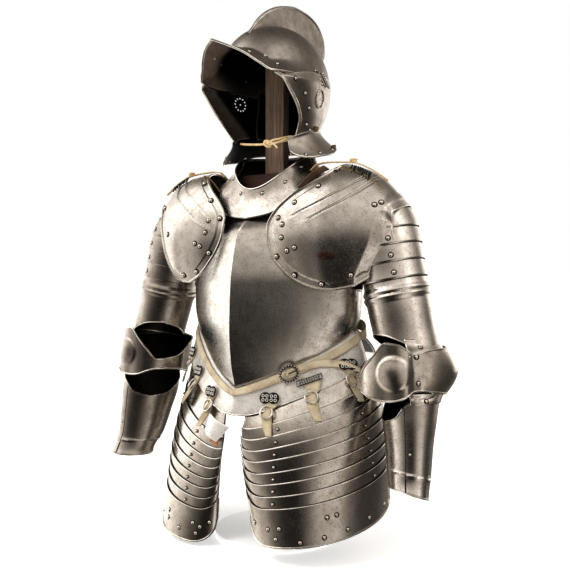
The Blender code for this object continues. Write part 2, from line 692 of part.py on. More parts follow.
def stand():
    half_x, half_y = POST_HALF
    block("stand_post", (-half_x, -half_y, BASE_THICK + GAP - SET.z), (half_x, half_y, POST_TOP), WOOD)
    outlined("stand_crossboard",
             [(-0.150, 0.632), (0.150, 0.632), (0.150, 0.650), (0.060, 0.705), (-0.060, 0.705), (-0.150, 0.650)],
             -half_y - GAP - 0.020, -half_y - GAP, BOARD)
    disc = bmesh.new()
    bmesh.ops.create_cone(disc, cap_ends=True, segments=40, radius1=BASE_RADIUS, radius2=BASE_RADIUS, depth=BASE_THICK)
    bmesh.ops.translate(disc, verts=disc.verts, vec=(0, 0, BASE_THICK / 2 - SET.z))
    finish("stand_base", disc, PAINT)


def build():
    # Helmet
    plate("helmet_skull", skull, 32, 10)
    comb("helmet_comb")
    plate("helmet_nape", nape, 14, 3)
    plate("helmet_neck_guard", neck_guard, 20, 2)
    chin = [Vector(corner) for corner in ((0.066, -0.034, 0.769), (0.034, -0.046, 0.763), (0.0, -0.050, 0.761),
                                          (-0.034, -0.046, 0.764), (-0.066, -0.034, 0.769))]
    cord("chin_lace", smooth_path(chin, 4), 0.0026, LACING)
    # Collar and cuirass
    plate("collar_front", collar_front, 18, 3)
    plate("collar_back", collar_back, 18, 3)
    plate("breastplate", breastplate, 26, 11)
    plate("backplate", backplate, 22, 10)
    plate("fauld", fauld, 26, 4)
    plate("waist_belt", belt_surface, 48, 1, LEATHER, HIDE)
    # The paired pieces
    for word, side in (("left", 1), ("right", -1)):
        plate(f"cheek_piece_{word}", cheek, 7, 6, side=side)
        shoulder_strap(side, f"shoulder_strap_{word}")
        plate(f"pauldron_{word}", pauldron_main(side), 22, 7, side=side)
        for index in range(len(LAME_Z) - 1):
            plate(f"shoulder_lame_{word}_{index + 1}", shoulder_lame(index), 12, 1, side=side)
        plate(f"upper_cannon_{word}", upper_cannon, 16, 8, side=side)
        plate(f"elbow_{word}", elbow, 30, 4, side=side)
        plate(f"lower_cannon_{word}", lower_cannon(side), 16, 5, side=side)
        for index in range(len(TASSET_LAMES) - 1):
            rows = 4 if index == 0 else 2 if index == len(TASSET_LAMES) - 2 else 1
            plate(f"tasset_{word}_{index + 1}", tasset_plate(index, side), 12, rows, side=side)
        for number, turn in enumerate(STRAP_TURNS, 1):
            tasset_strap(math.radians(turn), side, f"tasset_strap_{word}_{number}")
    stand()


build()
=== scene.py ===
import bisect
import math
import random

import bmesh
import bpy
from mathutils import Matrix, Vector
from mathutils.kdtree import KDTree


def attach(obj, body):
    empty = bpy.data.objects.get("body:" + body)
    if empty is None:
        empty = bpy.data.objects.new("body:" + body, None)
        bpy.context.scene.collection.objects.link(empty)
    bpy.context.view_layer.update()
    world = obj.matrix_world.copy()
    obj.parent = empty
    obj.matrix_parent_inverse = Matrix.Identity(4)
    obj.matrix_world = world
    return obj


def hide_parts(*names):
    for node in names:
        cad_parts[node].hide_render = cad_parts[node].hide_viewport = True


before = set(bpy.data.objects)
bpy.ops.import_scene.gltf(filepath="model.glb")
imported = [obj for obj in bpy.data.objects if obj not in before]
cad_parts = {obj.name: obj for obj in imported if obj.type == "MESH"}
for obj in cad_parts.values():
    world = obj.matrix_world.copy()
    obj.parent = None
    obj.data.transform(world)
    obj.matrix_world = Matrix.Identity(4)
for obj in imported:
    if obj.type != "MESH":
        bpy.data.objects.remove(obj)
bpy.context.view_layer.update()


# The studio
# A level view from the armour's front left, a pale floor, and a soft surround: broad boxes of light
# raised in front and to the armour's right, white walls behind it, and dark ones level with the camera.
LOOK_FROM = (0.929, -1.3126, 0.539)
LOOK_TURN = 35

eye = bpy.data.cameras.new("view")
eye.lens = 50.53
eye.shift_x = 0.0140
eye.shift_y = -0.0351
camera = bpy.data.objects.new("view", eye)
camera.location = LOOK_FROM
camera.rotation_euler = (math.radians(90), 0, math.radians(LOOK_TURN))
bpy.context.collection.objects.link(camera)
bpy.context.scene.camera = camera
bpy.context.scene.view_settings.view_transform = "Standard"
bpy.context.scene.view_settings.gamma = 0.82


def add(tree, kind, settings=None, **inputs):
    """A shader node with its settings and its inputs, each a value or another node's socket."""
    made = tree.nodes.new(kind)
    for name, value in (settings or {}).items():
        setattr(made, name, value)
    for name, value in inputs.items():
        key = int(name[1:]) if name[0] == "_" else name.replace("_", " ")
        socket = made.inputs[key]
        if isinstance(value, bpy.types.NodeSocket):
            tree.links.new(value, socket)
        else:
            socket.default_value = value
    return made


def sums(tree, operation, first, second=0.0, third=0.0):
    """A sum of two or three values or sockets."""
    return add(tree, "ShaderNodeMath", {"operation": operation}, _0=first, _1=second, _2=third).outputs[0]


def ramp(tree, value, *stops):
    """A grey ramp through (place, level) stops."""
    made = add(tree, "ShaderNodeValToRGB", Fac=value)
    made.color_ramp.interpolation = "EASE"
    steps = made.color_ramp.elements
    for place, level in stops[2:]:
        steps.new(place)
    for step, (place, level) in zip(steps, sorted(stops)):
        step.position = place
        step.color = (level, level, level, 1)
    return made.outputs[0]


def blend(tree, share, first, second, kind="MIX"):
    """Two colours, mixed by a share from 0 to 1."""
    settings = {"data_type": "RGBA", "blend_type": kind}
    return add(tree, "ShaderNodeMix", settings, _0=share, _6=first, _7=second).outputs[2]


surround = bpy.data.worlds.new("soft_surround")
surround.use_nodes = True
sky = surround.node_tree
sky.nodes.clear()
way = add(sky, "ShaderNodeTexCoord").outputs["Generated"]
towards = Vector((math.sin(math.radians(LOOK_TURN)), -math.cos(math.radians(LOOK_TURN)), 0))
rightwards = Vector((-towards.y, towards.x, 0))
in_front = add(sky, "ShaderNodeVectorMath", {"operation": "DOT_PRODUCT"}, _0=way, _1=towards).outputs["Value"]
to_right = add(sky, "ShaderNodeVectorMath", {"operation": "DOT_PRODUCT"}, _0=way, _1=rightwards).outputs["Value"]
height = add(sky, "ShaderNodeSeparateXYZ", _0=way).outputs["Z"]
round_about = sums(sky, "MULTIPLY_ADD", sums(sky, "ARCTAN2", to_right, in_front), 0.5 / math.pi, 0.5)
# Round the armour from behind it (0), past its right-hand side (0.25), the front (0.5) and its left (0.75)
walls = ramp(sky, round_about, (0.0, 0.75), (0.08, 0.85), (0.14, 0.90), (0.20, 0.80), (0.24, 0.52), (0.275, 0.28),
             (0.32, 0.10), (0.375, 0.020), (0.455, 0.010), (0.495, 0.09), (0.55, 0.27), (0.615, 0.34), (0.67, 0.09),
             (0.73, 0.03), (0.78, 0.05), (0.82, 0.35), (0.85, 0.80), (1.0, 0.75))
underfoot = ramp(sky, round_about, (0.0, 0.20), (0.08, 0.72), (0.17, 0.66), (0.26, 0.36), (0.34, 0.08), (0.385, 0.015),
                 (0.455, 0.010), (0.495, 0.07), (0.54, 0.42), (0.60, 0.48), (0.655, 0.12), (0.72, 0.04), (0.80, 0.04),
                 (0.90, 0.10), (1.0, 0.20))
boxes = ramp(sky, round_about, (0.0, 0.08), (0.09, 0.12), (0.13, 0.40), (0.17, 0.85), (0.22, 1.0), (0.30, 0.92),
             (0.38, 0.50), (0.44, 0.42), (0.50, 0.48), (0.56, 0.48), (0.62, 0.86), (0.68, 0.70), (0.73, 0.42),
             (0.79, 0.20), (0.85, 0.12), (1.0, 0.08))
overhead = ramp(sky, sums(sky, "MULTIPLY_ADD", in_front, -0.5, 0.5), (0.0, 0.12), (0.40, 0.30), (0.55, 0.10),
                (1.0, 0.06))
sink = ramp(sky, sums(sky, "MULTIPLY", height, -1.0), (0.0, 0.0), (0.05, 0.0), (0.25, 1.0))
lift = ramp(sky, height, (0.0, 0.0), (0.06, 0.0), (0.62, 1.0))
rise = ramp(sky, height, (0.0, 0.0), (0.83, 0.0), (0.95, 1.0))
panels = blend(sky, sink, walls, underfoot)
panels = blend(sky, lift, panels, boxes)
panels = blend(sky, rise, panels, overhead)
warmth = blend(sky, panels, (1, 0.90, 0.81, 1), (1, 0.995, 0.985, 1))
panels = blend(sky, 1.0, panels, warmth, "MULTIPLY")
light = add(sky, "ShaderNodeBackground", Color=panels, Strength=2.3)
seen = add(sky, "ShaderNodeBackground", Color=(1, 1, 1, 1), Strength=1.0)
either = add(sky, "ShaderNodeMixShader", _0=add(sky, "ShaderNodeLightPath").outputs["Is Camera Ray"],
             _1=light.outputs[0], _2=seen.outputs[0])
add(sky, "ShaderNodeOutputWorld", Surface=either.outputs[0])
bpy.context.scene.world = surround

key = bpy.data.lights.new("key_panel", "AREA")
key.shape = "RECTANGLE"
key.size, key.size_y = 1.1, 0.8
key.energy = 26
key_place = bpy.data.objects.new("key_panel", key)
key_place.location = (-0.55, -1.75, 2.05)
key_place.rotation_euler = (Vector((0, 0, 0.62)) - key_place.location).to_track_quat("-Z", "Y").to_euler()
key_place.visible_glossy = False
bpy.context.collection.objects.link(key_place)

floor_shape = bmesh.new()
bmesh.ops.create_grid(floor_shape, x_segments=1, y_segments=1, size=14)
floor_mesh = bpy.data.meshes.new("floor")
floor_shape.to_mesh(floor_mesh)
floor_shape.free()
floor = bpy.data.objects.new("floor", floor_mesh)
bpy.context.collection.objects.link(floor)
pale = bpy.data.materials.new("pale_floor")
pale.use_nodes = True
pale_tree = pale.node_tree
pale_shader = pale_tree.nodes["Principled BSDF"]
pale_shader.inputs["Base Color"].default_value = (0.9, 0.9, 0.9, 1)
pale_shader.inputs["Roughness"].default_value = 1.0
pale_shader.inputs["Emission Color"].default_value = (1, 1, 1, 1)
pale_shader.inputs["Emission Strength"].default_value = 0.55
floor_mesh.materials.append(pale)
floor.visible_glossy = False


# The stand
# A planed softwood post carries a shoulder board, screwed on across its front, and rises into the
# helmet. It stands in a plain round steel foot painted off-white, hidden behind the tassets; its paint
# glows a little, a painted light that keeps the foot as pale as the floor.
SET = Vector((0.0, 0.0144, 0.016))    # from the measuring point at the post, down to the floor
POST_HALF = (0.0225, 0.0100)
POST_TOP = 0.980
BASE_RADIUS = 0.125
BASE_THICK = 0.010
GAP = 0.0003
BOARD_THICK = 0.020
BOARD = [(-0.150, 0.632), (0.150, 0.632), (0.150, 0.650), (0.060, 0.705), (-0.060, 0.705), (-0.150, 0.650)]


def finish(name, shape, materials, nodes=(), sharp=38):
    """The finished piece, set down in its place, riding with the armour."""
    bmesh.ops.translate(shape, verts=shape.verts, vec=SET)
    mesh = bpy.data.meshes.new(name)
    shape.to_mesh(mesh)
    shape.free()
    for one in materials:
        mesh.materials.append(one)
    mesh.shade_smooth()
    mesh.set_sharp_from_angle(angle=math.radians(sharp))
    made = bpy.data.objects.new(name, mesh)
    bpy.context.collection.objects.link(made)
    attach(made, "root")
    if nodes:
        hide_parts(*nodes)
    return made


def group(name, inputs, outputs):
    """An empty node group with (name, kind, start value) inputs."""
    tree = bpy.data.node_groups.new(name, "ShaderNodeTree")
    for label, kind, value in inputs:
        made = tree.interface.new_socket(label, in_out="INPUT", socket_type=f"NodeSocket{kind}")
        made.default_value = value
    for label, kind in outputs:
        tree.interface.new_socket(label, in_out="OUTPUT", socket_type=f"NodeSocket{kind}")
    return tree, add(tree, "NodeGroupInput"), add(tree, "NodeGroupOutput")


def noise(tree, where, scale, detail=4.0, rough=0.55, stretch=None):
    """Even noise, or drawn out along an axis by its stretch."""
    if stretch:
        where = add(tree, "ShaderNodeMapping", Vector=where, Scale=stretch).outputs[0]
    return add(tree, "ShaderNodeTexNoise", Vector=where, Scale=scale, Detail=detail, Roughness=rough).outputs["Fac"]


def join(tree, ends, **sockets):
    """Lead sockets to the group's outputs of those names."""
    for name, socket in sockets.items():
        tree.links.new(socket, ends.inputs[name])


grain, grain_in, grain_out = group(
    "planed_grain", [("Along", "Vector", (1, 1, 1)), ("Light", "Color", (0.2, 0.12, 0.08, 1)),
                     ("Dark", "Color", (0.05, 0.03, 0.02, 1))],
    [("Colour", "Color"), ("Roughness", "Float"), ("Height", "Float")])
grain_place = add(grain, "ShaderNodeTexCoord").outputs["Object"]
grain_along = add(grain, "ShaderNodeVectorMath", {"operation": "MULTIPLY"}, _0=grain_place,
                  _1=grain_in.outputs["Along"]).outputs[0]
fibres = noise(grain, grain_along, 260.0, 5.0, 0.7)
bands = noise(grain, grain_along, 62.0, 3.0, 0.6)
streaks = sums(grain, "ADD", sums(grain, "MULTIPLY", fibres, 0.55), sums(grain, "MULTIPLY", bands, 0.45))
streak_mask = ramp(grain, streaks, (0.40, 0.0), (0.62, 1.0))
stains = noise(grain, grain_place, 14.0, 3.0)
wood_colour = blend(grain, streak_mask, grain_in.outputs["Dark"], grain_in.outputs["Light"])
wood_colour = blend(grain, sums(grain, "MULTIPLY", stains, 0.5), wood_colour, grain_in.outputs["Dark"])
join(grain, grain_out, Colour=wood_colour, Roughness=sums(grain, "MULTIPLY_ADD", fibres, 0.3, 0.5), Height=streaks)


def finish_material(name, tree_group, rough=None, metal=0.0, bump=0.0004, **inputs):
    """A material whose colour, roughness and relief come from a group of nodes."""
    made = bpy.data.materials.new(name)
    made.use_nodes = True
    tree = made.node_tree
    shader = tree.nodes["Principled BSDF"]
    shader.inputs["Metallic"].default_value = metal
    inner = add(tree, "ShaderNodeGroup", {"node_tree": tree_group})
    for label, value in inputs.items():
        inner.inputs[label].default_value = value
    tree.links.new(inner.outputs["Colour"], shader.inputs["Base Color"])
    tree.links.new(inner.outputs["Roughness"], shader.inputs["Roughness"])
    relief = add(tree, "ShaderNodeBump", Height=inner.outputs["Height"], Distance=bump, Strength=1.0)
    tree.links.new(relief.outputs[0], shader.inputs["Normal"])
    return made


def soften_edges(shape, edges, width):
    """Sharp edges rubbed round."""
    bmesh.ops.bevel(shape, geom=edges, offset=width, segments=3, affect="EDGES", profile=0.5, material=-1)


def sawn(name, low, high, material, node, soften=0.0014):
    """A squared timber with its edges taken off."""
    shape = bmesh.new()
    bmesh.ops.create_cube(shape, size=1.0)
    bmesh.ops.scale(shape, vec=Vector(high) - Vector(low), verts=shape.verts)
    bmesh.ops.translate(shape, vec=(Vector(high) + Vector(low)) / 2, verts=shape.verts)
    soften_edges(shape, shape.edges[:], soften)
    return finish(name, shape, [material], [node], 60)


post_wood = finish_material("post_wood_grain", grain, bump=0.0005, Along=(1, 1, 0.06),
                            Light=(0.300, 0.212, 0.150, 1), Dark=(0.125, 0.084, 0.060, 1))
board_wood = finish_material("board_wood_grain", grain, bump=0.0005, Along=(0.08, 1, 1),
                             Light=(0.085, 0.034, 0.022, 1), Dark=(0.030, 0.013, 0.010, 1))
sawn("post", (-POST_HALF[0], -POST_HALF[1], BASE_THICK + GAP - SET.z), (*POST_HALF, POST_TOP), post_wood,
     "stand_post")

board = bmesh.new()
board_face = board.faces.new([board.verts.new((x, -POST_HALF[1] - GAP - BOARD_THICK, z)) for x, z in BOARD])
pushed = bmesh.ops.extrude_face_region(board, geom=[board_face])["geom"]
bmesh.ops.translate(board, verts=[v for v in pushed if isinstance(v, bmesh.types.BMVert)], vec=(0, BOARD_THICK, 0))
bmesh.ops.recalc_face_normals(board, faces=board.faces)
soften_edges(board, board.edges[:], 0.0015)
finish("shoulder_board", board, [board_wood], ["stand_crossboard"], 60)

paint, paint_in, paint_out = group("brushed_paint", [("Tint", "Color", (0.86, 0.86, 0.85, 1))],
                                   [("Colour", "Color"), ("Roughness", "Float"), ("Height", "Float")])
paint_place = add(paint, "ShaderNodeTexCoord").outputs["Object"]
strokes = noise(paint, paint_place, 240.0, 3.0, 0.6)
dust = noise(paint, paint_place, 18.0, 4.0)
paint_colour = blend(paint, sums(paint, "MULTIPLY", dust, 0.18), paint_in.outputs["Tint"], (0.5, 0.48, 0.44, 1))
join(paint, paint_out, Colour=paint_colour, Roughness=sums(paint, "MULTIPLY_ADD", strokes, 0.25, 0.4), Height=strokes)
foot = bmesh.new()
bmesh.ops.create_cone(foot, cap_ends=True, segments=96, radius1=BASE_RADIUS, radius2=BASE_RADIUS, depth=BASE_THICK)
bmesh.ops.translate(foot, verts=foot.verts, vec=(0, 0, BASE_THICK / 2 - SET.z))
foot_rim = [e for e in foot.edges if abs(e.verts[0].co.z - e.verts[1].co.z) < 0.0001]
soften_edges(foot, foot_rim, 0.0016)
glowing_foot_paint = finish_material("glowing_foot_paint", paint, bump=0.0001)
foot_glow_shader = glowing_foot_paint.node_tree.nodes["Principled BSDF"]
# Painted light: the foot's paint glows a little so that it stays as pale as the lit floor.
foot_glow_shader.inputs["Emission Color"].default_value = (1, 1, 1, 1)
foot_glow_shader.inputs["Emission Strength"].default_value = 0.42
finish("foot_plate", foot, [glowing_foot_paint], ["stand_base"], 30)


# The collar
# Two plates of steel hammered to the neck, hinged at the wearer's left and pinned at the right,
# with a rolled upper rim. Round-headed rivets under the rim once held its lining.
WALL = 0.0016
NECK_Y = -0.005
MERGE = 0.00001


def table(names, *rows):
    """Columns by name; the first column is the one the table is read along."""
    heads = names.split()
    return {"key": heads[0], **{head: [row[i] for row in rows] for i, head in enumerate(heads)}}


def read(sections, column, at):
    """The column's value at a place along the table, on a smooth curve that never overshoots."""
    keys = sections[sections["key"]]
    values = sections[column]
    if at <= keys[0]:
        return values[0]
    if at >= keys[-1]:
        return values[-1]

    def secant(i):
        return (values[i + 1] - values[i]) / (keys[i + 1] - keys[i])

    def slope(i):
        if i == 0:
            return secant(0)
        if i == len(keys) - 1:
            return secant(i - 1)
        before, after = secant(i - 1), secant(i)
        return 0.0 if before * after <= 0 else 2 * before * after / (before + after)

    i = bisect.bisect_right(keys, at) - 1
    span = keys[i + 1] - keys[i]
    f = (at - keys[i]) / span
    return ((2 * f**3 - 3 * f**2 + 1) * values[i] + (f**3 - 2 * f**2 + f) * span * slope(i)
            + (3 * f**2 - 2 * f**3) * values[i + 1] + (f**3 - f**2) * span * slope(i + 1))


def mix(a, b, f):
    return a + (b - a) * f


def ease(f):
    """A smooth step from 0 to 1."""
    f = min(max(f, 0.0), 1.0)
    return f * f * (3 - 2 * f)


def turned(radius_x, radius_front, radius_back, turn, centre_y):
    """A point of an oval ring: turn 0 at the front, positive towards the wearer's left."""
    depth = radius_front if math.cos(turn) > 0 else radius_back
    return radius_x * math.sin(turn), centre_y - depth * math.cos(turn)


# Hammered and polished plate: brown patina in clouds, fine pits, polishing marks, worn edges with a painted highlight
# along them
steel, steel_in, steel_out = group(
    "hammered_plate", [("Bright", "Color", (0.6, 0.57, 0.53, 1)), ("Dark", "Color", (0.2, 0.16, 0.12, 1)),
                       ("Patina", "Float", 0.5), ("Gloss", "Float", 0.3), ("Shift", "Vector", (0, 0, 0))],
    [("Colour", "Color"), ("Roughness", "Float"), ("Height", "Float")])
steel_place = add(steel, "ShaderNodeVectorMath", {"operation": "ADD"},
                  _0=add(steel, "ShaderNodeTexCoord").outputs["Object"], _1=steel_in.outputs["Shift"]).outputs[0]
worn_lit_edge = add(steel, "ShaderNodeAttribute", {"attribute_name": "rim"}).outputs["Fac"]
clouds = noise(steel, steel_place, 8.0, 4.0, 0.55)
mottle = noise(steel, steel_place, 55.0, 7.0, 0.72)
blows = noise(steel, steel_place, 20.0, 1.0, 0.35)
marks = noise(steel, steel_place, 1.0, 3.0, 0.6, (70, 70, 1100))
marks_up = noise(steel, steel_place, 1.0, 3.0, 0.6, (1000, 1000, 45))
specks = noise(steel, steel_place, 430.0, 3.0, 0.6)
stained = sums(steel, "ADD", sums(steel, "MULTIPLY", clouds, 0.42), sums(steel, "MULTIPLY", mottle, 0.46))
stained = sums(steel, "ADD", stained, sums(steel, "MULTIPLY", marks_up, 0.12))
stained = sums(steel, "ADD", stained, sums(steel, "MULTIPLY_ADD", steel_in.outputs["Patina"], 0.40, -0.20))
stain_mask = ramp(steel, stained, (0.34, 0.0), (0.68, 1.0))
stain_mask = sums(steel, "MULTIPLY", stain_mask, sums(steel, "MULTIPLY_ADD", worn_lit_edge, -0.85, 1.0))
pit_mask = ramp(steel, sums(steel, "MULTIPLY_ADD", mottle, 0.45, specks), (0.80, 0.0), (0.88, 1.0))
steel_colour = blend(steel, stain_mask, steel_in.outputs["Bright"], steel_in.outputs["Dark"])
steel_colour = blend(steel, sums(steel, "MULTIPLY", pit_mask, 0.38), steel_colour, (0.060, 0.045, 0.034, 1))
# Painted highlight: a pale line along every edge, partly real wear and partly the light an edge catches.
steel_colour = blend(steel, sums(steel, "MULTIPLY", worn_lit_edge, 0.50), steel_colour, (0.88, 0.85, 0.80, 1))
steel_rough = sums(steel, "MULTIPLY_ADD", stain_mask, 0.12, steel_in.outputs["Gloss"])
polish = sums(steel, "ADD", marks, marks_up)
steel_rough = sums(steel, "ADD", steel_rough, sums(steel, "MULTIPLY_ADD", polish, 0.14, -0.14))
steel_high = sums(steel, "MULTIPLY_ADD", blows, 1.3, sums(steel, "MULTIPLY", mottle, 0.09))
steel_high = sums(steel, "ADD", steel_high, sums(steel, "MULTIPLY", polish, 0.020))
steel_high = sums(steel, "ADD", steel_high, sums(steel, "MULTIPLY", pit_mask, -0.05))
join(steel, steel_out, Colour=steel_colour, Roughness=steel_rough, Height=steel_high)


def plated(name, bright, dark, patina, gloss, shift=0.0, bump=0.0012):
    """One batch of plate: how bright, how brown and how well polished it is."""
    return finish_material(name, steel, metal=1.0, bump=bump, Bright=(*bright, 1), Dark=(*dark, 1), Patina=patina,
                           Gloss=gloss, Shift=(shift, 2 * shift, -shift))


collar_steel = plated("collar_plate", (0.62, 0.585, 0.54), (0.39, 0.34, 0.29), 0.45, 0.20, 1.3, 0.0009)
rivet_steel = plated("rivet_heads", (0.86, 0.82, 0.74), (0.52, 0.44, 0.34), 0.35, 0.24, 4.1, 0.0002)
# Also the dark finish of the painted shadow lines on cut edges and of the painted shade round rivet heads.
inner_and_shade_steel = plated("blackened_inside_and_painted_shade", (0.060, 0.052, 0.046), (0.018, 0.015, 0.013), 0.6, 0.46, 2.2)


def skin(surface, across, up, side=1, rim=0.0014, raise_by=None, edge_wear_and_shine=1.0):
    """A grid on surface(s, t), s running to the wearer's left and t upwards, with its edges marked as worn; on steel
    the same mark paints a highlight.
    """
    shape = bmesh.new()
    bmesh.ops.create_grid(shape, x_segments=across, y_segments=up, size=0.5)
    worn = shape.verts.layers.float.new("rim")
    for vert in shape.verts:
        x, y, z = surface(vert.co.x + 0.5, vert.co.y + 0.5)
        vert.co = (side * x, y, z)
    bmesh.ops.remove_doubles(shape, verts=shape.verts, dist=MERGE)
    if side < 0:
        bmesh.ops.reverse_faces(shape, faces=shape.faces)
    shape.normal_update()
    border = [vert for vert in shape.verts if vert.is_boundary]
    if border:
        near = KDTree(len(border))
        for i, vert in enumerate(border):
            near.insert(vert.co, i)
        near.balance()
        moves = []
        for vert in shape.verts:
            apart = near.find(vert.co)[2]
            vert[worn] = edge_wear_and_shine * math.exp(-(apart / rim) ** 2)
            if raise_by:
                moves.append((vert, vert.normal * raise_by(apart)))
        for vert, move in moves:
            vert.co += move
    return shape


def plate(name, surface, across, up, outside, nodes, side=1, inside=None, wall=WALL, rim=0.0014,
          raise_by=None, painted_shadow_edge=False, before=None, edge_wear_and_shine=1.0):
    """A plate with its wall given inwards; its inner face keeps its own finish, and its cut edge can take that dark
    finish too, as a painted shadow line.
    """
    shape = skin(surface, across, up, side, rim, raise_by, edge_wear_and_shine)
    if before:
        before(shape)
    made = finish(name, shape, [outside, inside or inner_and_shade_steel], nodes)
    solid = made.modifiers.new("wall", "SOLIDIFY")
    solid.thickness = wall
    solid.offset = -1.0
    solid.use_even_offset = True
    solid.material_offset = 1
    # A dark cut edge is a painted shadow line along the plate's edge.
    solid.material_offset_rim = 1 if painted_shadow_edge else 0
    return made


def spot(surface, s, t, side=1, out=0.0):
    """A place on a plate and the way it faces."""
    step = 0.004
    s0, s1 = max(s - step, 0.0), min(s + step, 1.0)
    t0, t1 = max(t - step, 0.0), min(t + step, 1.0)
    along = Vector(surface(s1, t)) - Vector(surface(s0, t))
    up = Vector(surface(s, t1)) - Vector(surface(s, t0))
    faces = along.cross(up).normalized()
    place = Vector(surface(s, t)) + faces * out
    return Vector((side * place.x, place.y, place.z)), Vector((side * faces.x, faces.y, faces.z))


def standing(faces):
    """The turn that stands a piece's own Z up from the plate."""
    return faces.to_track_quat("Z", "Y").to_matrix()


def rivet(shape, place, faces, radius=0.0032, high=0.0020):
    """A round head closed down on the plate, in a flat dark ring painted round it as its shade and grime."""
    stand = standing(faces).to_4x4()
    # The wide flat second one is a dark ring of painted shade and grime round the head.
    for wide, tall, layer in ((radius, high, 0), (radius * 1.40, high * 0.16, 1)):
        pressed = Matrix.Translation(place) @ stand @ Matrix.Diagonal((wide, wide, tall, 1))
        made = bmesh.ops.create_uvsphere(shape, u_segments=12, v_segments=6, radius=1.0, matrix=pressed)
        for face in {face for vert in made["verts"] for face in vert.link_faces}:
            face.material_index = layer


def rivets(name, surface, places, side=1, radius=0.0032, high=0.0020):
    """Rivets of one size at (s, t) places on a plate."""
    shape = bmesh.new()
    for s, t in places:
        rivet(shape, *spot(surface, s, t, side), radius, high)
    return finish(name, shape, [rivet_steel, inner_and_shade_steel])


def tube(shape, points, radius, around=8):
    """A round rod along the points, which close on themselves or end in a cap."""
    steps = len(points) - 1
    closed = (points[0] - points[-1]).length < MERGE
    widths = radius if isinstance(radius, list) else [radius] * len(points)
    frames = []
    side = None
    for i in range(len(points)):
        before = points[i - 1] if i > 0 else (points[-2] if closed else points[0])
        after = points[i + 1] if i < steps else (points[1] if closed else points[-1])
        along = (after - before).normalized()
        if side is None:
            side = along.orthogonal()
        side = (side - along * side.dot(along)).normalized()
        frames.append((side, along.cross(side)))
    if closed:
        frames[-1] = frames[0]
    made = bmesh.ops.create_grid(shape, x_segments=steps, y_segments=around, size=0.5)["verts"]
    for vert in made:
        i = round((vert.co.x + 0.5) * steps)
        turn = math.tau * (vert.co.y + 0.5)
        first, second = frames[i]
        vert.co = points[i] + widths[i] * (first * math.cos(turn) + second * math.sin(turn))
    bmesh.ops.remove_doubles(shape, verts=made, dist=MERGE)
    if not closed:
        open_edges = [e for e in shape.edges if e.is_boundary]
        bmesh.ops.holes_fill(shape, edges=open_edges, sides=around + 1)
    return made


def finish_solid(name, shape, material, nodes=(), sharp=38):
    """A finished piece of one material, its faces turned outwards first."""
    bmesh.ops.recalc_face_normals(shape, faces=shape.faces)
    return finish(name, shape, [material], nodes, sharp)


def rods(name, lines, radius, material, around=8):
    """Rolled rims, wires and laces as one piece."""
    shape = bmesh.new()
    for points in lines:
        tube(shape, points, radius, around)
    return finish_solid(name, shape, material)


def along_edge(surface, start, end, steps, side=1, out=0.0):
    """Points along a plate from one (s, t) to another."""
    line = []
    for i in range(steps + 1):
        f = i / steps
        line.append(spot(surface, mix(start[0], end[0], f), mix(start[1], end[1], f), side, out)[0])
    return line


def round_edge(surface, corners, steps, side=1, out=0.0):
    """Points along a plate through several (s, t) corners."""
    line = []
    for start, end, count in zip(corners, corners[1:], steps):
        line = line[:-1] + along_edge(surface, start, end, count, side, out)
    return line


COLLAR = table("rise half_width front back",
               (0.0, 0.126, 0.101, 0.104),
               (0.3, 0.106, 0.092, 0.088),
               (0.7, 0.088, 0.083, 0.075),
               (1.0, 0.081, 0.080, 0.071))
COLLAR_LOW = table("turn z", (0, 0.612), (20, 0.618), (40, 0.640), (55, 0.668), (75, 0.686),
                   (105, 0.688), (130, 0.678), (180, 0.668))
COLLAR_SEAM = math.radians(90)
COLLAR_TOP = 0.745
COLLAR_DIP = 0.075


def collar(turn, rise):
    """A point of the collar, whose rim dips in front."""
    low = read(COLLAR_LOW, "z", abs(math.degrees(turn)))
    rim = COLLAR_TOP - COLLAR_DIP * ((1 + math.cos(turn)) / 2) ** 3.5
    x, y = turned(read(COLLAR, "half_width", rise), read(COLLAR, "front", rise),
                  read(COLLAR, "back", rise), turn, NECK_Y)
    return (x, y, mix(low, rim, rise))


def collar_front(s, t):
    return collar(mix(-COLLAR_SEAM, COLLAR_SEAM, s), t)


def collar_back(s, t):
    slit = math.radians(0.4)
    turn = mix(COLLAR_SEAM + slit, math.tau - COLLAR_SEAM - slit, s)
    return collar(turn if turn < math.pi else turn - math.tau, t)


plate("collar_front_plate", collar_front, 84, 22, collar_steel, ["collar_front"])
plate("collar_back_plate", collar_back, 84, 18, collar_steel, ["collar_back"])
rim_steel = plated("rolled_rims", (0.80, 0.77, 0.71), (0.34, 0.27, 0.19), 0.30, 0.24, 3.3, 0.0003)
rods("collar_rims", [along_edge(collar_front, (0, 1), (1, 1), 72, out=-0.0006),
                     along_edge(collar_back, (0, 1), (1, 1), 72, out=-0.0006)], 0.0024, rim_steel)
rivets("collar_rivets", collar_front, [(0.22, 0.76), (0.39, 0.76), (0.59, 0.76), (0.75, 0.62), (0.88, 0.70)])


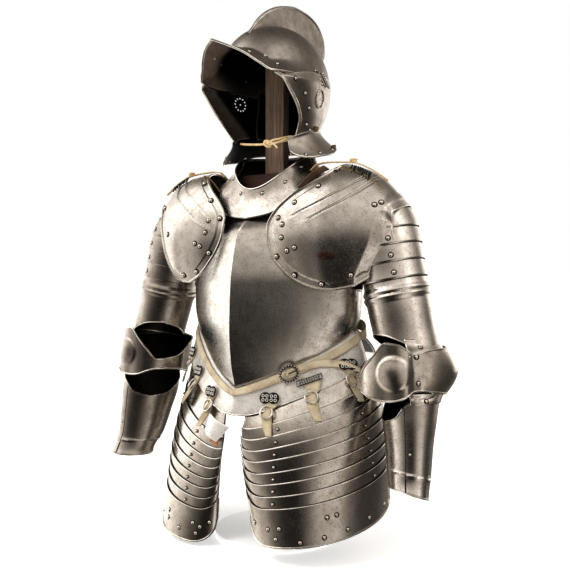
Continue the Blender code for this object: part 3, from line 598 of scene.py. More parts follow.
# The cuirass
# Breastplate and backplate of heavy polished steel, the breast drawn up into a sharp medial ridge and
# a low point. They meet under the arms, and the neck and arm edges are turned over a wire.
BODY_Y = -0.015
WAIST_FRONT_Z = 0.292
WAIST_SIDE_RISE = 0.110
WAIST_BACK_DROP = 0.012
TORSO = table("z half_width front ridge back",
              (0.230, 0.186, 0.128, 0.10, 0.110),
              (0.290, 0.146, 0.124, 0.45, 0.085),
              (0.330, 0.152, 0.134, 0.55, 0.086),
              (0.360, 0.165, 0.138, 0.58, 0.092),
              (0.400, 0.186, 0.141, 0.60, 0.102),
              (0.440, 0.194, 0.140, 0.60, 0.112),
              (0.490, 0.195, 0.137, 0.60, 0.120),
              (0.540, 0.184, 0.128, 0.62, 0.120),
              (0.585, 0.168, 0.114, 0.64, 0.112),
              (0.602, 0.158, 0.098, 0.55, 0.106),
              (0.625, 0.146, 0.070, 0.35, 0.098),
              (0.660, 0.128, 0.060, 0.20, 0.086))
BREAST_TOP = table("turn z", (0, 0.622), (20, 0.628), (34, 0.626), (44, 0.588), (52, 0.535),
                   (60, 0.500), (72, 0.480), (99, 0.474))
BACK_TOP = table("turn z", (99, 0.474), (112, 0.492), (124, 0.550), (134, 0.620), (144, 0.652),
                 (160, 0.656), (180, 0.648))
SIDE_SEAM = math.radians(98)
FLANGE_OUT = 0.050
FLANGE_DOWN = 0.045
FLANGE_FADE = math.radians(32)


def body(turn, z, out=0.0):
    """A point of the cuirass, moved out from its surface."""
    half_width = read(TORSO, "half_width", z) + out
    if math.cos(turn) < 0:
        return (half_width * math.sin(turn), BODY_Y - (read(TORSO, "back", z) + out) * math.cos(turn), z)
    ridge = read(TORSO, "ridge", z)
    shape = (1 - ridge) * math.cos(turn) + ridge * (1 - abs(math.sin(turn)))
    return (half_width * math.sin(turn), BODY_Y - (read(TORSO, "front", z) + out) * shape, z)


def waist(turn):
    """Height of the waist line, lowest at the front point."""
    share = min(abs(turn) / math.radians(90), 1.0)
    behind = max(0.0, -math.cos(turn))
    return WAIST_FRONT_Z + WAIST_SIDE_RISE * share**1.15 - WAIST_BACK_DROP * behind


def breastplate(s, t):
    turn = mix(-SIDE_SEAM, SIDE_SEAM, s)
    return body(turn, mix(waist(turn), read(BREAST_TOP, "z", abs(math.degrees(turn))), t))


def backplate(s, t):
    """The back of the cuirass with the flange that flares out below its waist."""
    flange = 0.2
    seam = SIDE_SEAM + math.radians(0.3)
    turn = mix(seam, math.tau - seam, s)
    near = min(turn, math.tau - turn)
    top = read(BACK_TOP, "z", math.degrees(near))
    low = waist(near)
    if t >= flange:
        return body(near if turn < math.pi else -near, mix(low, top, (t - flange) / (1 - flange)))
    drop = 1 - t / flange
    fade = min(1.0, (near - seam) / FLANGE_FADE)
    x, y, z = body(near if turn < math.pi else -near, low, FLANGE_OUT * drop**1.2 * fade)
    return (x, y, z - FLANGE_DOWN * drop * fade)


breast_steel = plated("breast_plate", (0.74, 0.715, 0.67), (0.52, 0.475, 0.415), 0.40, 0.23, 0.0, 0.0008)
plate("breastplate_plate", breastplate, 132, 72, breast_steel, ["breastplate"])
plate("backplate_plate", backplate, 100, 60, breast_steel, ["backplate"])
rods("cuirass_rims", [along_edge(breastplate, (0, 1), (1, 1), 96, out=-0.0006),
                      along_edge(backplate, (0, 1), (1, 1), 80, out=-0.0006),
                      along_edge(backplate, (0, 0), (1, 0), 80, out=-0.0006)], 0.0023, rim_steel)


# The fauld and the waist belt
# The fauld is a skirt plate tucked up inside the breastplate, its lower edge cut in a low double curve.
# It was whitened with tin, now worn thin. A buff leather belt is buckled over it, and its tail hangs free.
FAULD_DEPTH = 0.060
FAULD_CLEAR = 0.0016
FAULD_FLARE = 0.022
FAULD_FRONT_FLARE = 0.006
FAULD_RIDGE_LEFT = 0.72
FORK_ROUND = 0.010
FORK_TURN = 8
HIDE = 0.0028
BELT_WIDE = 0.020
STRAP_LIFT = 0.0022
BELT_DROP = (0.29, 0.04)
BACK_FROM = 99
BACK_TO = 118
FAULD_TO = math.radians(97.5)
FAULD_ROWS = table("t drop inset", (0.0, 1.0, 0.0), (0.25, 0.55, 0.0), (0.5, 0.14, 0.0), (0.75, 0.02, 0.0052),
                   (1.0, -0.16, 0.0058))


def fauld_surface(turn, drop, out=0.0):
    """A point under the belt: drop runs from 0 at the waist to 1 at the fauld's lower edge."""
    z = waist(turn)
    side_flare = FAULD_CLEAR + FAULD_FLARE * max(drop, 0.0) ** 0.85 + out
    front_flare = FAULD_CLEAR + FAULD_FRONT_FLARE * max(drop, 0.0) + out
    half_width = read(TORSO, "half_width", z) + side_flare
    ridge = read(TORSO, "ridge", z) * mix(1.0, FAULD_RIDGE_LEFT, min(max(drop, 0.0), 1.0))
    shape = (1 - ridge) * math.cos(turn) + ridge * (1 - abs(math.sin(turn)))
    front = read(TORSO, "front", z) + front_flare
    if math.cos(turn) < 0:
        shape = math.cos(turn)
        front = read(TORSO, "back", z) + side_flare
    round_off = FORK_ROUND * math.exp(-(math.degrees(turn) / FORK_TURN) ** 2) * max(drop, 0.0)
    return (half_width * math.sin(turn), BODY_Y - front * shape, z - FAULD_DEPTH * drop + round_off)


def fauld(s, t):
    """From its hem, tucked up inside the breastplate."""
    turn = mix(-FAULD_TO, FAULD_TO, s)
    return fauld_surface(turn, read(FAULD_ROWS, "drop", t), -read(FAULD_ROWS, "inset", t))


def belt_surface(s, t):
    """Round the fauld in front, and drawn up behind to the backplate's waist."""
    turn = mix(0, math.tau, s)
    near = turn if turn <= math.pi else turn - math.tau
    share = ease((abs(math.degrees(near)) - BACK_FROM) / (BACK_TO - BACK_FROM))
    front = Vector(fauld_surface(near, mix(*BELT_DROP, t), HIDE + STRAP_LIFT + 0.0006))
    back = Vector(body(near, waist(near) + 0.0015 + BELT_WIDE * t, HIDE + STRAP_LIFT))
    point = front.lerp(back, share)
    away = Vector((point.x, point.y - BODY_Y, 0.0)).normalized()
    return point + away * 0.030 * share * (1 - share)


fauld_steel = plated("fauld_plate", (0.84, 0.81, 0.77), (0.52, 0.48, 0.42), 0.34, 0.42, 5.0)
fauld_steel.node_tree.nodes["Principled BSDF"].inputs["Metallic"].default_value = 0.5
plate("fauld_skirt", fauld, 112, 24, fauld_steel, ["fauld"])
rods("fauld_rim", [along_edge(fauld, (0, 0), (1, 0), 90, out=-0.0004)], 0.0017, rim_steel)

hide, hide_in, hide_out = group(
    "buff_hide", [("Light", "Color", (0.55, 0.46, 0.32, 1)), ("Dark", "Color", (0.28, 0.2, 0.12, 1)),
                  ("Wear", "Float", 0.5)],
    [("Colour", "Color"), ("Roughness", "Float"), ("Height", "Float")])
hide_place = add(hide, "ShaderNodeTexCoord").outputs["Object"]
hide_edge = add(hide, "ShaderNodeAttribute", {"attribute_name": "rim"}).outputs["Fac"]
creases = noise(hide, hide_place, 95.0, 5.0, 0.65)
pores = add(hide, "ShaderNodeTexVoronoi", Vector=hide_place, Scale=900.0).outputs["Distance"]
handled = noise(hide, hide_place, 30.0, 4.0)
hide_mask = sums(hide, "MULTIPLY_ADD", handled, 0.6, sums(hide, "MULTIPLY", creases, 0.4))
hide_mask = ramp(hide, hide_mask, (0.40, 0.0), (0.66, 1.0))
hide_colour = blend(hide, sums(hide, "MULTIPLY", hide_mask, hide_in.outputs["Wear"]), hide_in.outputs["Light"],
                    hide_in.outputs["Dark"])
hide_colour = blend(hide, sums(hide, "MULTIPLY", hide_edge, 0.45), hide_colour, hide_in.outputs["Dark"])
join(hide, hide_out, Colour=hide_colour, Roughness=sums(hide, "MULTIPLY_ADD", creases, 0.2, 0.62),
     Height=sums(hide, "MULTIPLY_ADD", pores, 0.3, creases))
buff = finish_material("buff_leather_surface", hide, bump=0.0005, Light=(0.56, 0.485, 0.355, 1),
                       Dark=(0.27, 0.205, 0.125, 1), Wear=0.75)


def strap(name, surface, across, up, nodes, side=1, material=None, wall=HIDE):
    """A strap of hide with rounded edges."""
    shape = skin(surface, across, up, side, 0.0018)
    made = finish(name, shape, [material or buff], nodes, 70)
    solid = made.modifiers.new("thickness", "SOLIDIFY")
    solid.thickness = wall
    solid.offset = -1.0
    solid.use_even_offset = True
    soft = made.modifiers.new("rounded", "BEVEL")
    soft.width = 0.0007
    soft.segments = 2
    soft.limit_method = "ANGLE"
    soft.angle_limit = math.radians(50)
    return made


strap("belt", belt_surface, 180, 6, ["waist_belt"])

TAIL = table("along turn drop out", (0.0, 34, 0.10, 0.0098), (0.15, 42, 0.10, 0.0105), (0.32, 50, 0.16, 0.0100),
             (0.5, 57, 0.26, 0.0092), (0.75, 68, 0.54, 0.0090), (0.88, 74, 0.76, 0.0088), (1.0, 80, 0.98, 0.0088))


def belt_tail(s, t):
    """The free end of the belt beyond the buckle, drooping over the fauld to a worn, darkened tip."""
    half = 0.0070 - 0.0030 * max(0.0, (s - 0.88) / 0.12)
    point = fauld_surface(math.radians(read(TAIL, "turn", s)), read(TAIL, "drop", s), read(TAIL, "out", s))
    return (point[0], point[1], point[2] + (2 * t - 1) * half)


strap("belt_tail", belt_tail, 60, 6, [])

BUCKLE_TURN = math.radians(36)
BUCKLE_DROP = 0.14
BUCKLE_OUT = 0.0125
BEADS = 20
ring_black = plated("belt_buckle_ring", (0.085, 0.070, 0.058), (0.030, 0.024, 0.020), 0.45, 0.35, 15.0, 0.0002)
bead_metal = plated("belt_buckle_beads", (0.90, 0.87, 0.80), (0.60, 0.53, 0.44), 0.30, 0.30, 16.0, 0.0002)
middle = Vector(fauld_surface(BUCKLE_TURN, BUCKLE_DROP, BUCKLE_OUT))
tangent = Vector(fauld_surface(BUCKLE_TURN + 0.03, BUCKLE_DROP - 0.006, BUCKLE_OUT)) - middle
tangent.normalize()
upright = (Vector((0, 0, 1)) - tangent * tangent.z).normalized()


def round_buckle(count, long, high):
    """Points round an oval that lies along the belt."""
    turns = [math.tau * i / count for i in range(count)]
    return [middle + tangent * long * math.cos(turn) + upright * high * math.sin(turn) for turn in turns]


oval = round_buckle(48, 0.0170, 0.0142)
buckle = bmesh.new()
tube(buckle, oval + [oval[0]], 0.0023, 8)
tube(buckle, [middle - tangent * 0.0015, middle + tangent * 0.0185], 0.0011, 8)
finish_solid("belt_buckle", buckle, ring_black)
facing = tangent.cross(upright)
facing *= -1 if facing.y > 0 else 1
beads = bmesh.new()
for bead in round_buckle(BEADS, 0.0176, 0.0148):
    bmesh.ops.create_icosphere(beads, subdivisions=2, radius=0.0016, matrix=Matrix.Translation(bead + facing * 0.0017))
finish("belt_buckle_beads", beads, [bead_metal])


# The tassets
# Each is made of nine overlapping lames riveted to leathers inside, so that it flexes with the thigh,
# with a broad hem plate below. The right one hangs lower on its straps than the left.
SIDES = (("left", 1), ("right", -1))
THIGH = {"x": 0.109, "y": -0.010, "across": 0.128, "deep": 0.157}
TASSET_IN = math.radians(8)
TASSET_OUT = math.radians(97)
THIGH_IN = math.radians(-33)
THIGH_OUT = math.radians(112)
TASSET_HEM = {"low": 0.017, "rise": 0.050, "inner": 0.050, "outer": 0.012}
TASSET_SWELL = 0.012
TASSET_LAP = 0.022
TASSET_TUCK = 0.96
TUCK_CLEAR = 0.0030
TASSET_STEP = 0.0034
TASSET_LAMES = (0.0, 0.250, 0.338, 0.427, 0.509, 0.598, 0.680, 0.768, 0.857, 1.0)
RIGHT_HANGS = 0.026


def tasset_surface(across, height, out, side):
    """Across 0 at the fork, 1 at the hip; height 0 at the hem, 1 under the fauld."""
    top = Vector(fauld_surface(mix(TASSET_IN, TASSET_OUT, across), TASSET_TUCK, -WALL - TUCK_CLEAR))
    corner_in = max(0.0, 1 - across / 0.17)
    corner_out = max(0.0, (across - 0.93) / 0.07)
    hem_z = (TASSET_HEM["low"] + TASSET_HEM["rise"] * across**1.7
             + TASSET_HEM["inner"] * (1 - math.sqrt(max(0.0, 1 - corner_in**2)))
             + TASSET_HEM["outer"] * (1 - math.sqrt(max(0.0, 1 - corner_out**2))))
    thigh = mix(THIGH_IN, THIGH_OUT, across)
    x = THIGH["x"] + THIGH["across"] * math.sin(thigh)
    y = THIGH["y"] - THIGH["deep"] * math.cos(thigh)
    lean = (1 - height) ** 0.78
    swell = TASSET_SWELL * math.sin(math.pi * height**1.6)
    point = Vector((mix(top.x, x, lean), mix(top.y, y, lean), mix(hem_z, top.z, height)))
    outwards = (point - Vector((THIGH["x"], THIGH["y"], point.z))).normalized()
    point += outwards * (out + swell)
    if side < 0:
        point.z -= RIGHT_HANGS * min(1.0, (1 - height) / 0.14)
    return point


def tasset_plate(index, side):
    """Plates are counted from the hem; each laps over the one above it."""
    low, high = TASSET_LAMES[index], TASSET_LAMES[index + 1]
    top_plate = index == len(TASSET_LAMES) - 2

    def surface(s, t):
        if top_plate:
            return tasset_surface(s, mix(low, high, t), 0.0, side)
        return tasset_surface(s, mix(low, high + TASSET_LAP, t), TASSET_STEP * t, side)

    return surface


def whole_tasset(side):
    """The outside of all nine lames together."""
    def surface(s, t):
        return tasset_surface(s, t, TASSET_STEP * min(t / 0.25, 1.0), side)

    return surface


HEM_RIVETS = {1: ((0.083, 0.133), (0.192, 0.125), (0.267, 0.133), (0.242, 0.058), (0.383, 0.033), (0.508, 0.042),
                  (0.633, 0.050), (0.767, 0.058), (0.525, 0.167), (0.575, 0.167), (0.908, 0.062)),
              -1: ((0.158, 0.150), (0.108, 0.117), (0.133, 0.067), (0.050, 0.125), (0.258, 0.075), (0.383, 0.092),
                   (0.383, 0.150), (0.525, 0.060), (0.675, 0.060), (0.820, 0.075), (0.925, 0.110))}
HEM_CORNERS = ((0.0, 0.22), (0.0, 0.0), (1.0, 0.0), (1.0, 0.22))
tasset_steel = plated("tasset_plate", (0.70, 0.67, 0.62), (0.46, 0.41, 0.35), 0.46, 0.18, 7.0, 0.0009)
for word, side in SIDES:
    for index in range(len(TASSET_LAMES) - 1):
        rows = 34 if index == 0 else 18 if index == len(TASSET_LAMES) - 2 else 10
        plate(f"tasset_lame_{word}_{index + 1}", tasset_plate(index, side), 72, rows, tasset_steel,
              [f"tasset_{word}_{index + 1}"], side, wall=0.0010, painted_shadow_edge=True, edge_wear_and_shine=0.22)
    whole = whole_tasset(side)
    rods(f"tasset_hem_rim_{word}", [round_edge(whole, HEM_CORNERS, (12, 70, 12), side)], 0.0019, rim_steel)
    inner_row = [mix(0.235, 0.268, i / 6) for i in range(7)]
    outer_row = [mix(0.815, 0.757, i / 6) for i in range(7)]
    heights = [0.5 * (a + b) + 0.012 for a, b in zip(TASSET_LAMES[1:8], TASSET_LAMES[2:9])]
    studs = list(zip(inner_row, heights)) + list(zip(outer_row, heights))
    rivets(f"tasset_row_{word}", whole, studs, side, 0.0026, 0.0020)
    rivets(f"tasset_hem_{word}", whole, HEM_RIVETS[side], side, 0.0036, 0.0026)


# The sprung corner
# The upper inner corner of the right tasset has sprung away, and stands out from the thigh. A scrap of its torn
# and reddened leather still hangs below it.
FLAP = ((-0.0585, -0.158, 0.2080), (-0.0230, -0.166, 0.1920), (0.0045, -0.160, 0.2215), (-0.0470, -0.156, 0.2420))
FLAP_BELLY = 0.007
TORN_FROM = ((-0.0465, -0.1585, 0.2020), (-0.0230, -0.1640, 0.1925))
TORN_DEEP = 0.0120


def sprung_corner(s, t):
    """The bent corner of plate, bellied outwards."""
    low = Vector(FLAP[0]).lerp(Vector(FLAP[1]), s)
    point = low.lerp(Vector(FLAP[3]).lerp(Vector(FLAP[2]), s), t)
    return (point.x, point.y - FLAP_BELLY * math.sin(math.pi * s), point.z)


def torn_leather(s, t):
    """The scrap's ragged lower edge against its straight upper one."""
    edge = 0.0016 * math.sin(9 * s + 2) + 0.0010 * math.sin(23 * s)
    point = Vector(TORN_FROM[0]).lerp(Vector(TORN_FROM[1]), s)
    return (point.x, point.y + 0.0015, point.z - (TORN_DEEP + edge) * (1 - t) + 0.004 * t)


plate("sprung_tasset_corner", sprung_corner, 18, 12, fauld_steel, (), rim=0.0014)
red_hide = finish_material("reddened_leather", hide, bump=0.0005, Light=(0.50, 0.235, 0.10, 1),
                           Dark=(0.16, 0.065, 0.03, 1), Wear=0.7)
strap("torn_tasset_leather", torn_leather, 18, 6, (), 1, red_hide, wall=0.0022)


# The tasset straps
# Three tapering straps on each side hang from the fauld and carry the tasset. Each is held to the fauld by
# a pair of laced black leather discs, or by a laced band, and passes through a round iron ring.
STRAP_TURNS = (24, 49, 73)
STRAP_LEAN = math.radians(4)
STRAP_DROP = (0.53, 1.74)
WAIST_RADIUS = 0.175
STRAP_CUT = table("down half", (0.0, 0.0168), (0.14, 0.0166), (0.26, 0.0124), (0.42, 0.0086), (0.58, 0.0094),
                  (0.70, 0.0090), (1.0, 0.0052))


def hanging_strap(turn):
    """The strap's surface: s across it and t from its tip up to its root."""
    across_middle = (turn - TASSET_IN) / (TASSET_OUT - TASSET_IN)
    hem = tasset_surface(across_middle, 0.0, 0.0, 1).z
    top = tasset_surface(across_middle, 1.0, 0.0, 1).z

    def surface(s, t):
        down = 1 - t
        half = read(STRAP_CUT, "half", down)
        here = turn + STRAP_LEAN * down * down + (s - 0.5) * 2 * half / WAIST_RADIUS
        z = waist(turn) - FAULD_DEPTH * mix(*STRAP_DROP, down)
        drop = (waist(here) - z) / FAULD_DEPTH
        on_fauld = Vector(fauld_surface(here, min(drop, 1.05), HIDE + STRAP_LIFT))
        across = (here - TASSET_IN) / (TASSET_OUT - TASSET_IN)
        height = min((z - hem) / (top - hem), 1.0)
        on_tasset = Vector(tasset_surface(across, height, HIDE + STRAP_LIFT + TASSET_STEP, 1))
        point = on_fauld.lerp(on_tasset, ease((drop - 0.97) / 0.12))
        return (point.x, point.y, z)

    return surface


ring_iron = plated("ring_iron", (0.88, 0.86, 0.80), (0.55, 0.48, 0.38), 0.30, 0.30, 6.1, 0.0002)
black_hide = finish_material("blackened_leather", hide, bump=0.0003, Light=(0.008, 0.007, 0.006, 1),
                             Dark=(0.004, 0.003, 0.003, 1), Wear=0.6)
white_thread = finish_material("waxed_white_thread", hide, bump=0.0002, Light=(0.86, 0.83, 0.76, 1),
                               Dark=(0.62, 0.57, 0.48, 1), Wear=0.4)
BAND_TURNS = (math.radians(40), math.radians(55))
BAND_DROP = (0.62, 0.44)


def laced_band(s, t):
    """A blackened strip that holds the middle left strap's root to the fauld."""
    drop = mix(*BAND_DROP, t) + 0.05 * s
    return fauld_surface(mix(*BAND_TURNS, s), drop, 2 * HIDE + STRAP_LIFT + 0.0012)


strap("laced_band", laced_band, 30, 4, (), 1, black_hide, wall=0.0012)
zigzag = bmesh.new()
for low, high in ((0.14, 0.86), (0.86, 0.14)):
    stitches = [spot(laced_band, mix(0.03, 0.97, i / 14), high if i % 2 else low, 1, 0.0005)[0] for i in range(15)]
    tube(zigzag, stitches, 0.00060, 5)
finish_solid("laced_band_thread", zigzag, white_thread)
def ring_points(centre, stand, radius, count, turned_by=0.0, rise=0.0):
    """Points round a circle that lies on a plate."""
    turns = [turned_by + math.tau * i / count for i in range(count)]
    return [centre + stand @ Vector((radius * math.cos(turn), radius * math.sin(turn), rise)) for turn in turns]


RING_RADIUS = 0.0118
RING_THICK = 0.0018
DISC_PLACES = ((0.27, 0.90), (0.73, 0.90))
DISC_RADIUS = (0.0108, 0.0104)
DISC_THICK = 0.0016
EYELET_OUT = 0.0053
EYELET_RADIUS = 0.0025
EYELET_THREAD = 0.00055
for word, side in SIDES:
    for number, turn in enumerate(STRAP_TURNS, 1):
        hanging = hanging_strap(math.radians(turn))
        strap(f"hanging_strap_{word}_{number}", hanging, 8, 32, [f"tasset_strap_{word}_{number}"], side)
        centre, faces = spot(hanging, 0.5, 0.53, side, 0.0030)
        circle = ring_points(centre, standing(faces), RING_RADIUS, 36)
        rods(f"strap_ring_{word}_{number}", [circle + [circle[0]]], RING_THICK, ring_iron)
        if (word, number) == ("left", 2):
            continue
        rosette, lacing = bmesh.new(), bmesh.new()
        for place in DISC_PLACES:
            centre, faces = spot(hanging, *place, side, 0.0018)
            bmesh.ops.create_cone(rosette, cap_ends=True, segments=20, radius1=DISC_RADIUS[0], radius2=DISC_RADIUS[1],
                                  depth=DISC_THICK, matrix=Matrix.Translation(centre) @ standing(faces).to_4x4())
            centre, faces = spot(hanging, *place, side, 0.0027)
            for eyelet in ring_points(centre, standing(faces), EYELET_OUT, 4, math.tau / 8):
                loop = ring_points(eyelet, standing(faces), EYELET_RADIUS, 8)
                tube(lacing, loop + [loop[0]], EYELET_THREAD, 5)
        finish(f"strap_rosette_{word}_{number}", rosette, [black_hide], (), 50)
        finish_solid(f"strap_eyelets_{word}_{number}", lacing, white_thread)


# The arms
# Above the elbow a short tube with a turned double ring, on four lames riveted up to the pauldron; below it a
# flared cuff hinged along its outer seam. A cup guards the elbow, and its wing carries a round boss.
STEP_OUT = 0.0030
LAP = 0.0050
ELBOW_X = 0.3095
ELBOW_Y = -0.0275
ELBOW_Z = 0.337
BROAD = math.radians(45)
CROOK = math.radians(-45)
ARM = table("z x y tilt wide thin",
            (0.118, 0.3285, -0.0790, 0.04, 0.0440, 0.0340),
            (0.128, 0.3275, -0.0750, 0.04, 0.0430, 0.0325),
            (0.160, 0.3210, -0.0600, 0.05, 0.0480, 0.0360),
            (0.210, 0.3160, -0.0490, 0.06, 0.0545, 0.0400),
            (0.260, 0.3120, -0.0390, 0.08, 0.0600, 0.0470),
            (0.310, 0.3100, -0.0310, 0.12, 0.0600, 0.0530),
            (0.360, 0.3060, -0.0260, 0.20, 0.0560, 0.0550),
            (0.400, 0.2955, -0.0230, 0.24, 0.0550, 0.0550),
            (0.440, 0.2850, -0.0200, 0.24, 0.0560, 0.0560),
            (0.470, 0.2770, -0.0180, 0.22, 0.0565, 0.0565),
            (0.500, 0.2705, -0.0165, 0.20, 0.0565, 0.0565),
            (0.560, 0.2575, -0.0140, 0.19, 0.0580, 0.0580),
            (0.590, 0.2515, -0.0120, 0.18, 0.0560, 0.0560),
            (0.620, 0.2450, -0.0100, 0.18, 0.0500, 0.0500),
            (0.660, 0.2360, -0.0080, 0.18, 0.0400, 0.0400))
LAME_WALL = 0.0011
LAME_Z = (0.494, 0.524, 0.554, 0.584, 0.614)
LAME_TURNS = (math.radians(-62), math.radians(205))
TURNED_RING = table("z out", (0.458, 0.0), (0.463, 0.0025), (0.467, 0.0034), (0.471, 0.0012), (0.475, 0.0032),
                    (0.479, 0.0022), (0.484, 0.0), (0.500, -0.0018))
UPPER_EDGE = table("away z", (0, 0.410), (35, 0.402), (70, 0.382), (100, 0.368), (180, 0.364))
LOWER_EDGE = {1: table("away z", (0, 0.251), (35, 0.260), (60, 0.283), (80, 0.289), (100, 0.294), (130, 0.300),
                       (180, 0.304)),
              -1: table("away z", (0, 0.243), (35, 0.250), (60, 0.266), (80, 0.276), (100, 0.286), (130, 0.300),
                        (180, 0.304))}
UPPER_TOP = 0.500
CUFF_HEM = 0.118
CUFF_CUT = {1: 0.0145, -1: 0.0}
CUFF_SLANT = {1: 0.0105, -1: 0.0}
SLANT_TURN = math.radians(-30)
CUFF_RING = table("z out", (0.0265, 0.0), (0.0290, 0.0016), (0.0315, 0.0))
ELBOW = table("turn reach low high bulge lean",
              (-225, 0.0860, -0.041, 0.041, 0.0235, 0.0),
              (-190, 0.0800, -0.040, 0.040, 0.0160, 0.0),
              (-165, 0.0700, -0.038, 0.034, 0.0040, 0.002),
              (-145, 0.0690, -0.042, 0.030, 0.0, 0.008),
              (-125, 0.0760, -0.047, 0.027, 0.0, 0.012),
              (-98, 0.0830, -0.043, 0.014, 0.0, 0.008),
              (-72, 0.0900, -0.034, -0.008, 0.0, 0.002),
              (-45, 0.0970, -0.031, -0.012, 0.0, 0.0),
              (-32, 0.0950, -0.036, 0.010, 0.0, -0.002),
              (-20, 0.0910, -0.043, 0.031, 0.0, -0.004),
              (-6, 0.0860, -0.045, 0.053, 0.0, -0.004),
              (8, 0.0840, -0.043, 0.051, 0.0, -0.008),
              (20, 0.0800, -0.036, 0.042, 0.0, -0.012),
              (30, 0.0690, -0.028, 0.035, 0.0, -0.004),
              (42, 0.0660, -0.027, 0.037, 0.001, 0.0),
              (55, 0.0670, -0.030, 0.040, 0.0045, 0.0),
              (75, 0.0700, -0.033, 0.041, 0.008, 0.0),
              (100, 0.0780, -0.038, 0.041, 0.0160, 0.0),
              (135, 0.0860, -0.041, 0.041, 0.0235, 0.0))
BOSS = {"turn": 4.0, "high": 0.002, "radius": 0.031, "rise": 0.0060}
CUFF_SEAM = math.radians(11)


def arm(turn, z, out=0.0):
    """A point of the hanging arm, oval in section and leaning outwards, moved out from its surface."""
    wide, thin = read(ARM, "wide", z) + out, read(ARM, "thin", z) + out
    along, over = wide * math.cos(turn - BROAD), thin * math.sin(turn - BROAD)
    across = along * math.sin(BROAD) + over * math.cos(BROAD)
    deep = over * math.sin(BROAD) - along * math.cos(BROAD)
    return (read(ARM, "x", z) + across, read(ARM, "y", z) + deep, z + read(ARM, "tilt", z) * across)


def shoulder_lame(index):
    """Counted from the arm upwards; each laps over the one below."""
    def surface(s, t):
        turn = mix(LAME_TURNS[0], LAME_TURNS[1], s)
        z = mix(LAME_Z[index], LAME_Z[index + 1] + LAP, t)
        return arm(turn, z, STEP_OUT * (1 - t))

    return surface


ELBOW_LAME_CLEAR = 0.0024
ELBOW_LAMES = {"upper": (0.0290, 0.0585), "lower": (-0.0515, -0.0330)}
ELBOW_LAME_TURNS = (23, 212)


def elbow_lame(where):
    """The narrow plate between the elbow cup and the cannon above or below it."""
    low, high = ELBOW_LAMES[where]

    def surface(s, t):
        turn = mix(*ELBOW_LAME_TURNS, s)
        cup = turn if turn <= 135 else turn - 360
        reach = read(ELBOW, "reach", cup) - read(ELBOW, "bulge", cup) - ELBOW_LAME_CLEAR
        z = ELBOW_Z + mix(low, high, t)
        angle = math.radians(turn)
        on_cup = Vector((ELBOW_X + reach * math.sin(angle), ELBOW_Y - reach * math.cos(angle), z))
        on_arm = Vector(arm(angle, z, 0.0022))
        on_arm.z = z
        share = ease(t * 1.3) if where == "upper" else ease((1 - t) * 1.3)
        return tuple(on_cup.lerp(on_arm, share))

    return surface


def from_crook(turn):
    """Angle away from the crook of the elbow, 0 to 180 degrees."""
    return abs(math.degrees((turn - CROOK + math.pi) % math.tau - math.pi))


def upper_cannon(s, t):
    """The tube above the elbow, cut away over the crook, with its turned double ring."""
    turn = mix(0, math.tau, s)
    z = mix(read(UPPER_EDGE, "z", from_crook(turn)), UPPER_TOP, t)
    return arm(turn, z, read(TURNED_RING, "out", z))


def cuff_hem(turn, side):
    """The left forearm piece is the shorter one, and is cut on a slant, highest inside the wrist."""
    return CUFF_HEM + CUFF_CUT[side] + CUFF_SLANT[side] * math.cos(turn - SLANT_TURN)


def lower_cannon(side):
    """The cuff of the forearm, with the small ring turned round it above its hem."""
    def surface(s, t):
        turn = mix(0, math.tau, s)
        hem = cuff_hem(turn, side)
        z = mix(hem, read(LOWER_EDGE[side], "z", from_crook(turn)), t)
        return arm(turn, z, read(CUFF_RING, "out", z - hem))

    return surface


def elbow(s, t):
    """Cup behind, wing on the outer side, narrow band over the crook."""
    turn = mix(-225, 135, s)
    high = mix(read(ELBOW, "low", turn), read(ELBOW, "high", turn), t)
    edge = abs(2 * t - 1)
    radius = read(ELBOW, "reach", turn) - read(ELBOW, "bulge", turn) * edge**1.7 + read(ELBOW, "lean", turn) * (t - 0.5)
    from_boss = math.hypot(math.radians(turn - BOSS["turn"]) * radius, high - BOSS["high"]) / BOSS["radius"]
    radius += BOSS["rise"] * (0.35 * ease((1.0 - from_boss) / 0.16) + 0.65 * ease((1.02 - from_boss) / 0.9))
    angle = math.radians(turn)
    return (ELBOW_X + radius * math.sin(angle), ELBOW_Y - radius * math.cos(angle), ELBOW_Z + high)


